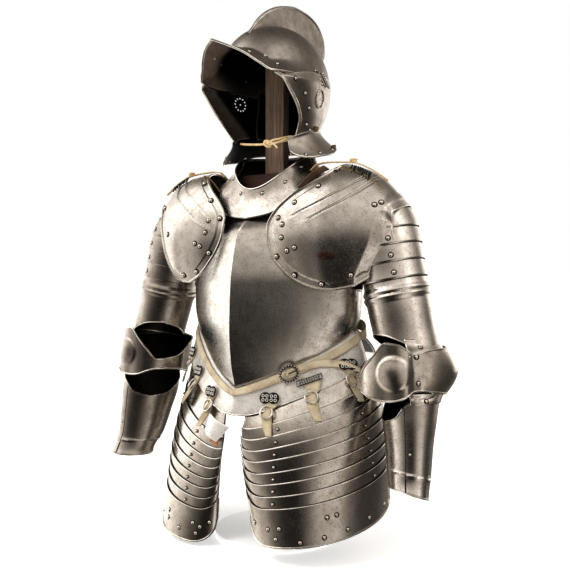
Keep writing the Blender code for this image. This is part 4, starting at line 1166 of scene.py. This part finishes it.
# The right arm and elbow take darker copies of the same plate: painted shade, not a different steel.
arm_steels = {1: plated("arm_plate_left", (0.74, 0.70, 0.65), (0.50, 0.44, 0.38), 0.40, 0.22, 9.0, 0.0008),
              -1: plated("arm_plate_right_shaded", (0.50, 0.465, 0.425), (0.31, 0.27, 0.23), 0.46, 0.25, 9.5, 0.0008)}
elbow_steels = {1: plated("elbow_plate_left", (0.77, 0.725, 0.665), (0.50, 0.44, 0.375), 0.42, 0.20, 10.5, 0.0008),
                -1: plated("elbow_plate_right_shaded", (0.52, 0.48, 0.44), (0.33, 0.29, 0.25), 0.46, 0.22, 10.8, 0.0008)}
for word, side in SIDES:
    for index in range(len(LAME_Z) - 1):
        plate(f"arm_lame_{word}_{index + 1}", shoulder_lame(index), 64, 10, arm_steels[side],
              [f"shoulder_lame_{word}_{index + 1}"], side, wall=LAME_WALL, painted_shadow_edge=True, edge_wear_and_shine=0.22)
        rivets(f"arm_lame_rivet_{word}_{index + 1}", shoulder_lame(index), [(0.335, 0.32), (0.93, 0.30)], side,
               0.0038, 0.0028)
    plate(f"upper_arm_{word}", upper_cannon, 96, 64, arm_steels[side], [f"upper_cannon_{word}"], side)
    forearm = lower_cannon(side)
    plate(f"lower_arm_{word}", forearm, 96, 60, arm_steels[side], [f"lower_cannon_{word}"], side)
    plate(f"elbow_cup_{word}", elbow, 200, 40, elbow_steels[side], [f"elbow_{word}"], side)
    rods(f"arm_rims_{word}", [along_edge(upper_cannon, (0, 0), (1, 0), 72, side, -0.0004),
                              along_edge(forearm, (0, 1), (1, 1), 72, side, -0.0004),
                              along_edge(forearm, (0, 0), (1, 0), 72, side, -0.0004)], 0.0016, rim_steel)
    rods(f"elbow_rims_{word}", [along_edge(elbow, (0, 0), (1, 0), 160, side, -0.0002),
                                along_edge(elbow, (0, 1), (1, 1), 160, side, -0.0002)], 0.0018, rim_steel)
    rivets(f"elbow_rivets_{word}", elbow, [(0.717, 0.92), (0.725, 0.20)], side, 0.0038, 0.0026)
    plate(f"elbow_lame_upper_{word}", elbow_lame("upper"), 80, 8, arm_steels[side], (), side, rim=0.0018)
    plate(f"elbow_lame_lower_{word}", elbow_lame("lower"), 80, 8, arm_steels[side], (), side, rim=0.0018)
    rivets(f"elbow_lame_rivets_{word}", elbow_lame("lower"), [(0.155, 0.35), (0.86, 0.5)], side, 0.0036, 0.0024)
    rivets(f"elbow_top_rivets_{word}", elbow_lame("upper"), [(0.125, 0.55), (0.86, 0.5)], side, 0.0036, 0.0024)
    seam_line = []
    for i in range(41):
        x, y, z = forearm(CUFF_SEAM / math.tau, mix(0.004, 0.996, i / 40))
        seam_line.append(Vector((side * x, y, z)))
    rods(f"cuff_seam_{word}", [seam_line], 0.0006, inner_and_shade_steel)
    rods(f"cuff_slit_{word}", [seam_line[:7]], 0.0013, inner_and_shade_steel)
    rivets(f"cuff_rivets_{word}", forearm, [(0.060, 0.43), (0.225, 0.20)], side, 0.0026, 0.0018)


# The pauldrons
# Each shoulder is covered by one large plate hammered to a vault, front to back, with a sunken border
# between its rolled edge and its field, and by lames over the top whose edges are cut in low ridges.
SHOULDER_Y = -0.012
SHOULDER_Z = 0.560
SHOULDER = table("out x rise depth",
                 (0.00, 0.050, 0.150, 0.103),
                 (0.25, 0.108, 0.156, 0.110),
                 (0.50, 0.168, 0.153, 0.107),
                 (0.70, 0.216, 0.140, 0.093),
                 (0.82, 0.248, 0.118, 0.080),
                 (0.92, 0.273, 0.094, 0.071),
                 (1.00, 0.294, 0.064, 0.066))
MAIN = {
    1: table("arch inner outer",
             (-33, 0.60, 0.80), (-31, 0.48, 0.88), (-26, 0.34, 0.930), (-18, 0.21, 0.96), (-8, 0.10, 0.985),
             (4, 0.04, 0.990), (14, 0.03, 0.985), (24, 0.085, 0.98), (35, 0.21, 0.975), (46, 0.35, 0.975),
             (60, 0.47, 0.99), (80, 0.53, 0.995), (100, 0.53, 0.985), (118, 0.46, 0.965), (134, 0.34, 0.945),
             (150, 0.22, 0.94), (166, 0.17, 0.90), (182, 0.20, 0.84), (194, 0.32, 0.74), (200, 0.44, 0.60)),
    -1: table("arch inner outer",
              (-27, 0.38, 0.46), (-25, 0.33, 0.51), (-21, 0.25, 0.56), (-12, 0.14, 0.625), (-2, 0.055, 0.675),
              (8, 0.01, 0.71), (18, 0.00, 0.745), (26, 0.02, 0.77), (35, 0.09, 0.79), (46, 0.205, 0.825),
              (58, 0.31, 0.87), (72, 0.385, 0.92), (90, 0.42, 0.955), (110, 0.40, 0.97), (128, 0.33, 0.96),
              (146, 0.22, 0.94), (164, 0.17, 0.90), (182, 0.20, 0.84), (194, 0.32, 0.74), (200, 0.44, 0.60))}


def shoulder(arch, out, lift=0.0):
    """A point over the shoulder: arch from front to back, out from the neck to the arm."""
    x = read(SHOULDER, "x", out)
    rise = read(SHOULDER, "rise", out) + lift
    depth = read(SHOULDER, "depth", out) + lift
    return (x, SHOULDER_Y - depth * math.cos(arch), SHOULDER_Z + rise * math.sin(arch))


LAPS = {
    1: (table("arch out", (14, 0.17), (22, 0.315), (28, 0.445), (35, 0.560), (49, 0.685), (71, 0.755), (110, 0.76),
              (150, 0.62)),
        table("arch out", (12, 0.28), (18, 0.430), (25, 0.565), (34, 0.680), (46, 0.755), (66, 0.800), (110, 0.82),
              (150, 0.72))),
    -1: (table("arch out", (8, 0.02), (14, 0.145), (19, 0.280), (29, 0.435), (45, 0.610), (64, 0.675), (110, 0.70),
               (150, 0.56)),
         table("arch out", (12, 0.02), (18, 0.100), (24, 0.195), (34, 0.335), (50, 0.515), (66, 0.595), (110, 0.60),
               (150, 0.44)))}
ARCH_BACK = 200
ARCH_FRONT = -33
LAP_HIGH = 0.0013
LAP_TO = 150
LAP_WIDE = 0.022
ARM_FLARE = 0.0040
TURNED_IN = table("arch out", (-33, 0.74), (-24, 0.765), (-12, 0.810), (4, 0.855), (24, 0.875), (34, 0.890),
                  (46, 0.960), (60, 1.0))
TURNED_SLOPE = 0.135


def lap_lift(side, arch, out):
    """How far the lame over the shoulder stands above the one it laps over."""
    lift = 0.0
    for edge in LAPS[side]:
        past = out - read(edge, "out", arch)
        fade = ease((arch - edge["arch"][0]) / 12) * ease((LAP_TO - arch) / 20)
        if past > 0:
            lift += LAP_HIGH * fade * math.exp(-past / 0.07) * ease(past / 0.012)
    return lift


def pauldron(side):
    """The plate over one shoulder; in front of the arm its edge is turned in to clear the lames."""
    ends = MAIN[side]

    def surface(s, t):
        arch = mix(ARCH_BACK, ends["arch"][0], s)
        out = mix(read(ends, "inner", arch), read(ends, "outer", arch), t)
        lift = lap_lift(side, arch, out)
        if side > 0:
            lift -= TURNED_SLOPE * max(0.0, out - read(TURNED_IN, "out", arch))
        lift += ARM_FLARE * ease((out - 0.90) / 0.07) * ease((arch - 44) / 10) * ease((LAP_TO - arch) / 20)
        return shoulder(math.radians(arch), out, lift)

    return surface


def vault(s, t):
    """The whole shoulder: arch against s, out against t."""
    return shoulder(math.radians(mix(ARCH_BACK, ARCH_FRONT, s)), t, 0.0004)


def sunken_border(apart):
    """The border is sunk a little below the field of the plate."""
    return -0.0012 * ease((0.0150 - apart) / 0.0020)


BORDER_RIVETS = {
    1: ((66, 0.525), (44, 0.445), (30, 0.275), (19, 0.140), (14, 0.190), (5, 0.190), (-4, 0.245), (-2, 0.315),
        (-8, 0.135), (-21, 0.295), (-28, 0.515), (-24, 0.735), (40, 0.865), (48, 0.900), (96, 0.935), (110, 0.56),
        (134, 0.40), (156, 0.26), (176, 0.24), (190, 0.36), (186, 0.70), (150, 0.90)),
    -1: ((56, 0.340), (36, 0.175), (21, 0.045), (19, 0.150), (10, 0.170), (2, 0.275), (0, 0.220), (-5, 0.130),
         (-19, 0.280), (-22, 0.430), (110, 0.45), (134, 0.36), (156, 0.26), (176, 0.24), (190, 0.36), (186, 0.70),
         (150, 0.90), (96, 0.94), (40, 0.77), (10, 0.62))}
pauldron_steel = plated("pauldron_plate", (0.72, 0.69, 0.645), (0.47, 0.425, 0.37), 0.47, 0.22, 11.0)
RUST_PLACE = (0.187, -0.100, 0.555)
RUST_SIZE = (0.040, 0.090, 0.0150)
rusty = pauldron_steel.node_tree
rust_seat = add(rusty, "ShaderNodeTexCoord").outputs["Object"]
rust_place = add(rusty, "ShaderNodeMapping", {"vector_type": "TEXTURE"}, Vector=rust_seat, Location=RUST_PLACE,
                 Scale=RUST_SIZE).outputs[0]
rust_away = add(rusty, "ShaderNodeVectorMath", {"operation": "LENGTH"}, _0=rust_place).outputs["Value"]
rust_break = noise(rusty, rust_seat, 160.0, 4.0, 0.7)
rust_mask = ramp(rusty, sums(rusty, "MULTIPLY_ADD", rust_break, 0.9, rust_away), (0.75, 0.75), (1.45, 0.0))
shade = rusty.nodes["Principled BSDF"].inputs["Base Color"]
rusty.links.new(blend(rusty, rust_mask, shade.links[0].from_socket, (0.50, 0.17, 0.11, 1)), shade)
for word, side in SIDES:
    vaulted = pauldron(side)
    plate(f"pauldron_vault_{word}", vaulted, 190, 110, pauldron_steel, [f"pauldron_{word}"], side,
          raise_by=sunken_border, rim=0.0026)
    edge = round_edge(vaulted, ((0, 0), (1, 0), (1, 1), (0, 1), (0, 0)), (110, 10, 110, 10), side, -0.0010)
    rods(f"pauldron_rim_{word}", [edge], 0.0026, rim_steel)
    beads = []
    for lap in LAPS[side]:
        for beside in (0.0, -LAP_WIDE):
            line = []
            for i in range(61):
                arch = mix(lap["arch"][0] + 6, 142, i / 60)
                out = read(lap, "out", arch) + beside
                place = shoulder(math.radians(arch), out, lap_lift(side, arch, out + 0.008) - 0.0002)
                line.append(Vector((side * place[0], place[1], place[2])))
            beads.append(line)
    rods(f"pauldron_laps_{word}", beads, 0.0008, rim_steel, around=6)
    studs = [((ARCH_BACK - arch) / (ARCH_BACK - ARCH_FRONT), out) for arch, out in BORDER_RIVETS[side]]
    rivets(f"pauldron_rivets_{word}", vault, studs, side, 0.0042, 0.0032)


# The shoulder straps
# A pale leather strap lies over the top of each pauldron, tied in a small bow, and a brown one holds it to
# the collar. Scraps of torn lining hang beside the bow.
BOW = (0.197, -0.035, 0.7160)
BOW_LOOPS = ((0.0062, 0.0), (0.0052, 1.1), (0.0046, -0.9))
NECK_STRAP = ((0.096, -0.060, 0.668), (0.148, -0.050, 0.7060))
NECK_STRAP_HALF = 0.0075
SHOULDER_STRAP_HALF = (0.0042, 0.0026)
SHOULDER_STRAP = table("x y z", (0.104, -0.036, 0.7045), (0.120, -0.036, 0.7155), (0.140, -0.036, 0.7175),
                       (0.165, -0.036, 0.7165), (0.198, -0.035, 0.7130), (0.235, -0.035, 0.6980),
                       (0.268, -0.035, 0.6760))


def shoulder_strap(s, t):
    """The pale lace over the top of the pauldron, narrowing towards the arm."""
    x = mix(SHOULDER_STRAP["x"][0], SHOULDER_STRAP["x"][-1], s)
    half = mix(*SHOULDER_STRAP_HALF, ease(s * 1.6 - 0.5))
    return (x, read(SHOULDER_STRAP, "y", x) + (2 * t - 1) * half, read(SHOULDER_STRAP, "z", x))


def neck_strap(s, t):
    """The brown strap, buckled to the collar, that the pauldron hangs from."""
    middle = Vector(NECK_STRAP[0]).lerp(Vector(NECK_STRAP[1]), s)
    middle.z += 0.006 * math.sin(math.pi * s)
    wide = Vector((0.35, 0.80, -0.42)).normalized()
    return tuple(middle + wide * NECK_STRAP_HALF * (2 * t - 1))


lace_hide = finish_material("golden_leather", hide, bump=0.0004, Light=(0.74, 0.58, 0.34, 1),
                            Dark=(0.42, 0.27, 0.10, 1), Wear=0.7)
brown_hide = finish_material("brown_leather", hide, bump=0.0004, Light=(0.22, 0.135, 0.070, 1),
                             Dark=(0.075, 0.042, 0.024, 1), Wear=0.7)
for word, side in SIDES:
    strap(f"pauldron_strap_{word}", shoulder_strap, 60, 4, [f"shoulder_strap_{word}"], side, lace_hide,
          0.0022)
    strap(f"neck_strap_{word}", neck_strap, 24, 4, [], side, brown_hide, 0.0022)
    tie = bmesh.new()
    for k, (reach, tilt) in enumerate(BOW_LOOPS):
        loop = []
        for i in range(14):
            turn = math.tau * i / 14
            away = Vector((reach * math.cos(turn), reach * 0.55 * math.sin(turn), 0.0022 * math.sin(2 * turn + k)))
            away.rotate(Matrix.Rotation(tilt, 3, "Z"))
            loop.append(Vector((side * (BOW[0] + away.x), BOW[1] + away.y, BOW[2] + away.z)))
        tube(tie, loop + [loop[0]], 0.0018, 8)
    finish_solid(f"strap_knot_{word}", tie, lace_hide)
    scraps = bmesh.new()
    chance = random.Random(7)
    for i in range(11):
        x = mix(0.200, 0.238, i / 10)
        top = Vector((side * x, -0.044 + 0.003 * chance.random(), read(SHOULDER_STRAP, "z", x) - 0.006))
        fall = Vector((side * 0.004 * (chance.random() - 0.5), -0.006 * chance.random() - 0.002,
                       -0.006 - 0.006 * chance.random()))
        tube(scraps, [top, top + fall * 0.5 + Vector((0, 0, 0.001)), top + fall], 0.0016, 6)
    finish_solid(f"torn_lining_{word}", scraps, black_hide)


# The helmet
# A burgonet: its skull is beaten from one plate and drawn out in front into a peak, with a tall comb along
# the crown. Cheek pieces hang from it on hinges, and a flared plate guards the neck.
HELMET_Y = -0.010
HELMET_Z = 0.880
HELMET_RISE = 0.118
PEAK_BAND = 0.20
BROW_SHARE = 0.038
SKULL = {"across": 0.100, "front": 0.128, "back": 0.138}
PEAK = table("turn reach rise",
             (0, 0.082, 0.0526), (7, 0.073, 0.045), (20, 0.053, 0.030), (31, 0.040, 0.013),
             (41, 0.036, 0.0), (60, 0.021, 0.0), (80, 0.004, 0.0), (95, 0.0, 0.0))
HEAD = table("depth half_width front back",
             (0.000, 0.1000, 0.128, 0.138),
             (0.030, 0.0995, 0.124, 0.130),
             (0.060, 0.0970, 0.114, 0.112),
             (0.085, 0.0900, 0.099, 0.099),
             (0.112, 0.0820, 0.084, 0.094))
CHEEK_EDGE = table("depth turn reach",
                   (0.000, 42, 0.1510), (0.010, 48, 0.1467), (0.030, 54, 0.1330), (0.060, 63, 0.1130),
                   (0.085, 68, 0.0967), (0.112, 69, 0.0780))
CHEEK_BACK = math.radians(130)
GUARD = table("turn depth flare fall",
              (50, 0.1185, 0.008, 0.010), (56, 0.1165, 0.015, 0.028), (66, 0.1120, 0.021, 0.038),
              (80, 0.1045, 0.027, 0.045), (100, 0.0955, 0.032, 0.045), (125, 0.0900, 0.032, 0.033),
              (180, 0.0880, 0.034, 0.028))
COMB_HALF = 0.0022
COMB_ROOT = 0.0085
COMB = table("along y z",
             (0.00, -0.0985, 0.969), (0.10, -0.0848, 0.983), (0.20, -0.0660, 1.0045), (0.30, -0.0384, 1.0262),
             (0.42, -0.0042, 1.0436), (0.53, 0.0283, 1.0537), (0.64, 0.0679, 1.0607), (0.74, 0.1060, 1.0586),
             (0.82, 0.1390, 1.0508), (0.88, 0.1623, 1.0349), (0.93, 0.1761, 1.0127), (0.97, 0.1790, 0.9880),
             (1.00, 0.1500, 0.9420))


def skull(s, t):
    """The bowl from its rim up to the crown, with the peak drawn out of its front."""
    turn = mix(-math.pi, math.pi, s)
    degrees = abs(math.degrees(turn))
    start = math.asin(read(PEAK, "rise", degrees) / HELMET_RISE)
    drawn = read(PEAK, "reach", degrees)
    held = mix(BROW_SHARE, 1.0, (t - PEAK_BAND) / (1 - PEAK_BAND)) if t > PEAK_BAND else BROW_SHARE * t / PEAK_BAND
    level = mix(start, math.pi / 2, mix(t, held, (drawn / PEAK["reach"][0]) ** 2))
    reach = drawn * max(0.0, 1 - t / PEAK_BAND) ** 1.6
    ring = math.cos(level) ** 0.92
    x, y = turned(SKULL["across"] * ring, SKULL["front"] * ring, SKULL["back"] * ring, turn, HELMET_Y)
    away = Vector((x, y - HELMET_Y))
    if away.length > MERGE:
        away = away * (1 + reach / away.length)
    return (away.x, away.y + HELMET_Y, HELMET_Z + HELMET_RISE * math.sin(level))


def head(turn, depth):
    """From the middle of the helmet out to its wall, at a depth below the skull's rim."""
    x, y = turned(read(HEAD, "half_width", depth), read(HEAD, "front", depth),
                  read(HEAD, "back", depth), turn, HELMET_Y)
    return Vector((x, y - HELMET_Y))


def dome(turn, depth, out=0.0):
    """A point of the helmet a depth below its skull's rim, or above it, moved out from the surface."""
    if depth < 0:
        ring = math.cos(math.asin(-depth / HELMET_RISE)) ** 0.92
        x, y = turned(SKULL["across"] * ring, SKULL["front"] * ring, SKULL["back"] * ring, turn, HELMET_Y)
        away = Vector((x, y - HELMET_Y))
    else:
        away = head(turn, depth)
    away = away * (1 + out / away.length)
    return (away.x, away.y + HELMET_Y, HELMET_Z - depth)


def seam_depth(turn):
    """Where the cheek pieces and the nape end on the neck plate."""
    return read(GUARD, "depth", math.degrees(turn)) - 0.0016


CHEEK_TOP = table("turn depth", (42, 0.0014), (55, 0.0012), (62, -0.0030), (69, -0.0070), (81, -0.0110),
                  (107, -0.0125), (130, -0.0130))
LAP_OUT = 0.0018


def cheek(s, t):
    """Flush below the peak, lapping over the skull above the ear and over the nape behind it."""
    high = read(CHEEK_TOP, "depth", mix(42, math.degrees(CHEEK_BACK), s))
    turn_below = mix(math.radians(read(CHEEK_EDGE, "turn", 0.112)), CHEEK_BACK, s)
    depth = mix(seam_depth(turn_below), high, t)
    turn = mix(math.radians(read(CHEEK_EDGE, "turn", depth)), CHEEK_BACK, s)
    lap = LAP_OUT * max(ease((0.012 - depth) / 0.008) * ease((math.degrees(turn) - 54) / 9), ease((s - 0.55) / 0.2))
    x, y, z = dome(turn, depth, lap)
    away = Vector((x, y - HELMET_Y))
    reach = read(CHEEK_EDGE, "reach", depth) - 0.0070 * max(0.0, 1 - depth / 0.009)
    away = away * mix(1.0, reach / away.length, (1 - s) ** 2)
    return (away.x, away.y + HELMET_Y, z)


NAPE_FROM = math.radians(118)
NAPE_TUCK = 0.0022


def nape(s, t):
    """Tucked inside the skull, the cheek pieces and the neck plate that lap over it."""
    turn = mix(NAPE_FROM, math.tau - NAPE_FROM, s)
    return dome(turn, mix(seam_depth(min(turn, math.tau - turn)) + 0.004, -0.010, t), -NAPE_TUCK)


GUARD_FROM = 54
GUARD_ROOT = 0.84


def neck_guard(s, t):
    """The collar plate that flares out below the nape, open over the throat."""
    turn = mix(math.radians(GUARD_FROM), math.radians(360 - GUARD_FROM), s)
    near = math.degrees(min(turn, math.tau - turn))
    depth = read(GUARD, "depth", near)
    if t > GUARD_ROOT:
        return dome(turn, depth - 0.005 * (t - GUARD_ROOT) / (1 - GUARD_ROOT), LAP_OUT)
    down = 1 - t / GUARD_ROOT
    x, y, z = dome(turn, depth, LAP_OUT + read(GUARD, "flare", near) * down**1.4)
    return (x, y, z - read(GUARD, "fall", near) * down)


EAR_TURNS = (40, 160)
EAR_DEPTHS = (0.115, -0.035)


def beside_ear(s, t):
    """The side of the helmet, over its seams: turn against s, depth against t."""
    return dome(math.radians(mix(*EAR_TURNS, s)), mix(*EAR_DEPTHS, t), LAP_OUT + 0.0002)


def at_ear(*places):
    """(turn in degrees, depth in metres) places as (s, t) on the side of the helmet."""
    front, back = EAR_TURNS
    low, high = EAR_DEPTHS
    return [((turn - front) / (back - front), (low - depth) / (low - high)) for turn, depth in places]


def comb(s, t):
    """The crest in section: up one flank from its concave root, over the rounded top, and down the other."""
    front = s < 0.5
    x, y, z = skull(0.5, mix(0.45, 1.0, 2 * s)) if front else skull(1.0, mix(1.0, 0.16, 2 * s - 1))
    root = Vector((0.0, y, z))
    root -= (root - Vector((0.0, HELMET_Y, HELMET_Z))).normalized() * 0.0006
    tip = Vector((0.0, read(COMB, "y", s), read(COMB, "z", s)))
    up = 1 - abs(2 * t - 1)
    half = COMB_HALF + COMB_ROOT * (1 - up) ** 5 * min(1.0, (tip - root).length / 0.03)
    if up > 0.90:
        half = COMB_HALF * math.sqrt(max(0.0, 1 - ((up - 0.90) / 0.10) ** 2))
    point = root.lerp(tip, up)
    return (half if t > 0.5 else -half, point.y, point.z)


helmet_steel = plated("helmet_plate", (0.40, 0.37, 0.335), (0.26, 0.228, 0.195), 0.52, 0.33, 13.0, 0.0006)
comb_steel = plated("comb_plate", (0.68, 0.63, 0.57), (0.40, 0.35, 0.30), 0.48, 0.36, 15.0, 0.0014)
cheek_steel = plated("cheek_plate", (0.53, 0.485, 0.435), (0.33, 0.285, 0.240), 0.48, 0.30, 14.0, 0.0007)
peak_inside = finish_material("inside_of_peak", steel, metal=0.35, bump=0.0008, Bright=(0.23, 0.178, 0.142, 1),
                              Dark=(0.105, 0.078, 0.061, 1), Patina=0.5, Gloss=0.38)
# The near-black inside of the nape is painted shade.
shaded_bowl_inside = plated("inside_of_bowl", (0.010, 0.008, 0.007), (0.004, 0.003, 0.003), 0.55, 0.60, 2.2)
# Painted shade: the inside of the peak, the bowl and the cheeks turns black deeper in.
shade_nodes = peak_inside.node_tree
shaded_base_colour = shade_nodes.nodes["Principled BSDF"].inputs["Base Color"]
painted_shade_share = add(shade_nodes, "ShaderNodeAttribute", {"attribute_name": "deep"}).outputs["Fac"]
shade_nodes.links.new(blend(shade_nodes, painted_shade_share, shaded_base_colour.links[0].from_socket, (0.004, 0.003, 0.003, 1)), shaded_base_colour)


def paint_inner_shade(shape, how_deep):
    """Mark how far inside the helmet each point lies: 0 where the inside is left lit, 1 where it is painted black as
    shade.
    """
    deep = shape.verts.layers.float.new("deep")
    for vert in shape.verts:
        vert[deep] = how_deep(vert.co)


def paint_bowl_shade(shape):
    """Painted shade: the underside of the peak is left lit, and the bowl behind it is painted black."""
    def how_deep(co):
        return ease((1.13 - math.hypot(co.x / SKULL["across"], (co.y - HELMET_Y) / SKULL["front"])) / 0.17)

    paint_inner_shade(shape, how_deep)


plate("helmet_bowl", skull, 180, 80, helmet_steel, ["helmet_skull"], inside=peak_inside, painted_shadow_edge=True,
      before=paint_bowl_shade)
crest = skin(comb, 110, 28, 1, 0.001)
bmesh.ops.holes_fill(crest, edges=[e for e in crest.edges if e.is_boundary], sides=0)
finish_solid("helmet_crest", crest, comb_steel, ["helmet_comb"], 50)
crown_line = [Vector((0.0, read(COMB, "y", i / 90), read(COMB, "z", i / 90) - 0.0022)) for i in range(1, 90)]
rods("helmet_crest_roll", [crown_line], 0.0031, rim_steel, around=10)
plate("helmet_nape_plate", nape, 60, 40, helmet_steel, ["helmet_nape"], inside=shaded_bowl_inside, painted_shadow_edge=True)
plate("helmet_neck_plate", neck_guard, 110, 24, cheek_steel, ["helmet_neck_guard"])


def pierce(made, holes, radius):
    """Drill round holes through a plate."""
    drill = bmesh.new()
    for place, faces in holes:
        bmesh.ops.create_cone(drill, cap_ends=True, segments=10, radius1=radius, radius2=radius, depth=0.012,
                              matrix=Matrix.Translation(place + SET) @ standing(faces).to_4x4())
    drill_mesh = bpy.data.meshes.new("drill")
    drill.to_mesh(drill_mesh)
    drill.free()
    bit = bpy.data.objects.new("drill", drill_mesh)
    bpy.context.collection.objects.link(bit)
    holes_cut = made.modifiers.new("holes", "BOOLEAN")
    holes_cut.object = bit
    holes_cut.solver = "EXACT"
    worked = bpy.context.evaluated_depsgraph_get()
    drilled = bpy.data.meshes.new_from_object(made.evaluated_get(worked), depsgraph=worked)
    made.modifiers.clear()
    made.data = drilled
    bpy.data.objects.remove(bit)
    drilled.shade_smooth()
    drilled.set_sharp_from_angle(angle=math.radians(38))


ROSETTES = {1: (0.470, 0.560), -1: (0.610, 0.700)}
ROSETTE_RADIUS = 0.0136
HOLE_RADIUS = 0.0017
ROSETTE_LINE = 0.0178
CHEEK_LIT = table("depth y", (0.0, -0.122), (0.010, -0.108), (0.030, -0.088), (0.060, -0.061), (0.085, -0.046),
                  (0.112, -0.038))
LIT_WIDE = 0.050
LIT_FADE = 0.020


def paint_cheek_shade(shape):
    """Painted shade: the inside of a cheek piece is left lit along its front edge, and painted black further in."""
    def how_deep(co):
        return ease((co.y - read(CHEEK_LIT, "y", HELMET_Z - co.z) - LIT_WIDE) / LIT_FADE)

    paint_inner_shade(shape, how_deep)


for word, side in SIDES:
    made = plate(f"helmet_cheek_{word}", cheek, 72, 60, cheek_steel, [f"cheek_piece_{word}"], side,
                 inside=peak_inside, before=paint_cheek_shade)
    centre, faces = spot(cheek, *ROSETTES[side], side)
    holes = [centre] + ring_points(centre, standing(faces), ROSETTE_RADIUS, 12)
    pierce(made, [(place, faces) for place in holes], HOLE_RADIUS)
    rods(f"cheek_rim_{word}", [along_edge(cheek, (0, 0), (0, 1), 48, side, -0.0006)], 0.0034, rim_steel)
    rivets(f"cheek_rivets_{word}", cheek,
           [(0.12, 0.90), (0.176, 0.675), (0.185, 0.433), (0.15, 0.167), (0.287, 0.045)], side, 0.0036, 0.0028)
    around = ring_points(centre, standing(faces), ROSETTE_LINE, 36, rise=0.0004)
    rods(f"rosette_line_{word}", [around + [around[0]]], 0.0010, rim_steel)
rods("helmet_rims", [along_edge(skull, (0.24, 0), (0.76, 0), 140, 1, -0.0004),
                     along_edge(neck_guard, (0, 0), (1, 0), 110, 1, -0.0004)], 0.0019, rim_steel)
brow = [(0.558, 0.075), (0.592, 0.175), (0.625, 0.108)]
rivets("brow_rivets", skull, brow + [(1 - s, t) for s, t in brow], 1, 0.0036, 0.0028)
NECK_RIVETS = (0.067, 0.133, 0.225, 0.32, 0.42, 0.5, 0.58, 0.68, 0.775, 0.867, 0.933)
rivets("neck_rivets", neck_guard, [(s, 0.09) for s in NECK_RIVETS], 1, 0.0034, 0.0026)


PLUME_TURNS = (98, 90)
PLUME_WIDE = 11.0
PLUME_DEPTHS = (0.008, -0.018)
PLUME_OUT = (0.0108, 0.0068)


def plume_plate(s, t):
    """A small plate slanting up the back of the left side, which once carried a plume."""
    turn = mix(*PLUME_TURNS, t) + (s - 0.5) * PLUME_WIDE
    return dome(math.radians(turn), mix(*PLUME_DEPTHS, t), mix(*PLUME_OUT, t))


plate("plume_plate", plume_plate, 8, 16, ring_black, [], wall=0.0012, rim=0.0010)
rods("plume_bars", [along_edge(plume_plate, (0.30, 0.04), (0.30, 0.96), 10, 1, 0.0010),
                    along_edge(plume_plate, (0.70, 0.04), (0.70, 0.96), 10, 1, 0.0010)], 0.0016, rivet_steel)
PLUME_RIVETS = [(s, t) for s in (-0.02, 1.02) for t in (0.06, 0.37, 0.67, 0.96)]
rivets("plume_rivets", plume_plate, PLUME_RIVETS, 1, 0.0026, 0.0026)
glints = bmesh.new()
for turn, depth in ((102, -0.030), (119, -0.014)):
    (glint_s, glint_t), = at_ear((turn, depth))
    place, faces = spot(beside_ear, glint_s, glint_t, -1)
    rivet(glints, place - faces * 0.0048, -faces, 0.0024, 0.0014)
finish("rivet_ends_inside", glints, [rivet_steel, rivet_steel])
remnants = bmesh.new()
chance = random.Random(11)
for place, faces in (spot(beside_ear, *at_ear((98, 0.090))[0]), spot(neck_guard, 0.255, 0.10)):
    lump = bmesh.ops.create_icosphere(remnants, subdivisions=2, radius=0.0050,
                                      matrix=Matrix.Translation(place + faces * 0.0012))["verts"]
    for vert in lump:
        vert.co += (vert.co - place) * 0.45 * (chance.random() - 0.5)
finish("leather_remnants", remnants, [brown_hide], (), 60)


# The chin lace
# A golden leather lace drawn taut across the throat, made fast in both cheek pieces. It is knotted, with its
# ends doubled back on the wearer's left.
def smooth_path(corners, steps):
    """Points along a smooth curve through the corners."""
    points = []
    ends = [corners[0] * 2 - corners[1], *corners, corners[-1] * 2 - corners[-2]]
    for a, b, c, d in zip(ends, ends[1:], ends[2:], ends[3:]):
        for i in range(steps):
            f = i / steps
            points.append(0.5 * (2 * b + (c - a) * f + (2 * a - 5 * b + 4 * c - d) * f**2
                                 + (3 * b - a - 3 * c + d) * f**3))
    points.append(corners[-1])
    return points


LACE = [Vector(corner) for corner in ((0.066, -0.034, 0.769), (0.034, -0.046, 0.763), (0.0, -0.050, 0.761),
                                      (-0.034, -0.046, 0.764), (-0.066, -0.034, 0.769))]
LACE_WIDE = 0.0052
lace = bmesh.new()
lace_line = smooth_path(LACE, 9)
tube(lace, lace_line, LACE_WIDE / 2, 10)
throat_lace = finish_solid("throat_lace", lace, lace_hide, ["chin_lace"])


def about(centre, *offsets):
    """A smooth strand through places given from the middle of the knot."""
    return smooth_path([Vector(centre) + Vector(offset) for offset in offsets], 8)


KNOT = (0.016, -0.052, 0.7605)
STRANDS = (
    (0.0024, (-0.006, -0.002, 0.005), (0.001, -0.006, 0.003), (0.006, -0.003, -0.003), (0.003, 0.001, -0.006),
     (-0.004, -0.003, -0.004), (-0.007, -0.005, 0.001), (-0.001, -0.008, 0.005), (0.006, -0.004, 0.003)),
    (0.0019, (-0.003, -0.004, 0.000), (0.004, -0.007, 0.000), (0.008, -0.004, 0.002), (0.016, -0.001, -0.004),
     (0.021, 0.000, -0.010)),
    (0.0018, (0.002, -0.005, 0.001), (0.012, -0.003, 0.006), (0.024, 0.001, 0.008), (0.036, 0.007, 0.011),
     (0.047, 0.014, 0.013)),
    (0.0018, (0.000, -0.004, -0.002), (0.012, -0.002, -0.001), (0.024, 0.001, 0.002), (0.036, 0.007, 0.007),
     (0.047, 0.013, 0.009)))
knot = bmesh.new()
for thick, *places in STRANDS:
    tube(knot, about(KNOT, *places), thick, 8)
throat_knot = finish_solid("throat_knot", knot, lace_hide)
path = [tuple(point + SET) for point in lace_line]
length = sum((b - a).length for a, b in zip(lace_line, lace_line[1:]))
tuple(path[0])
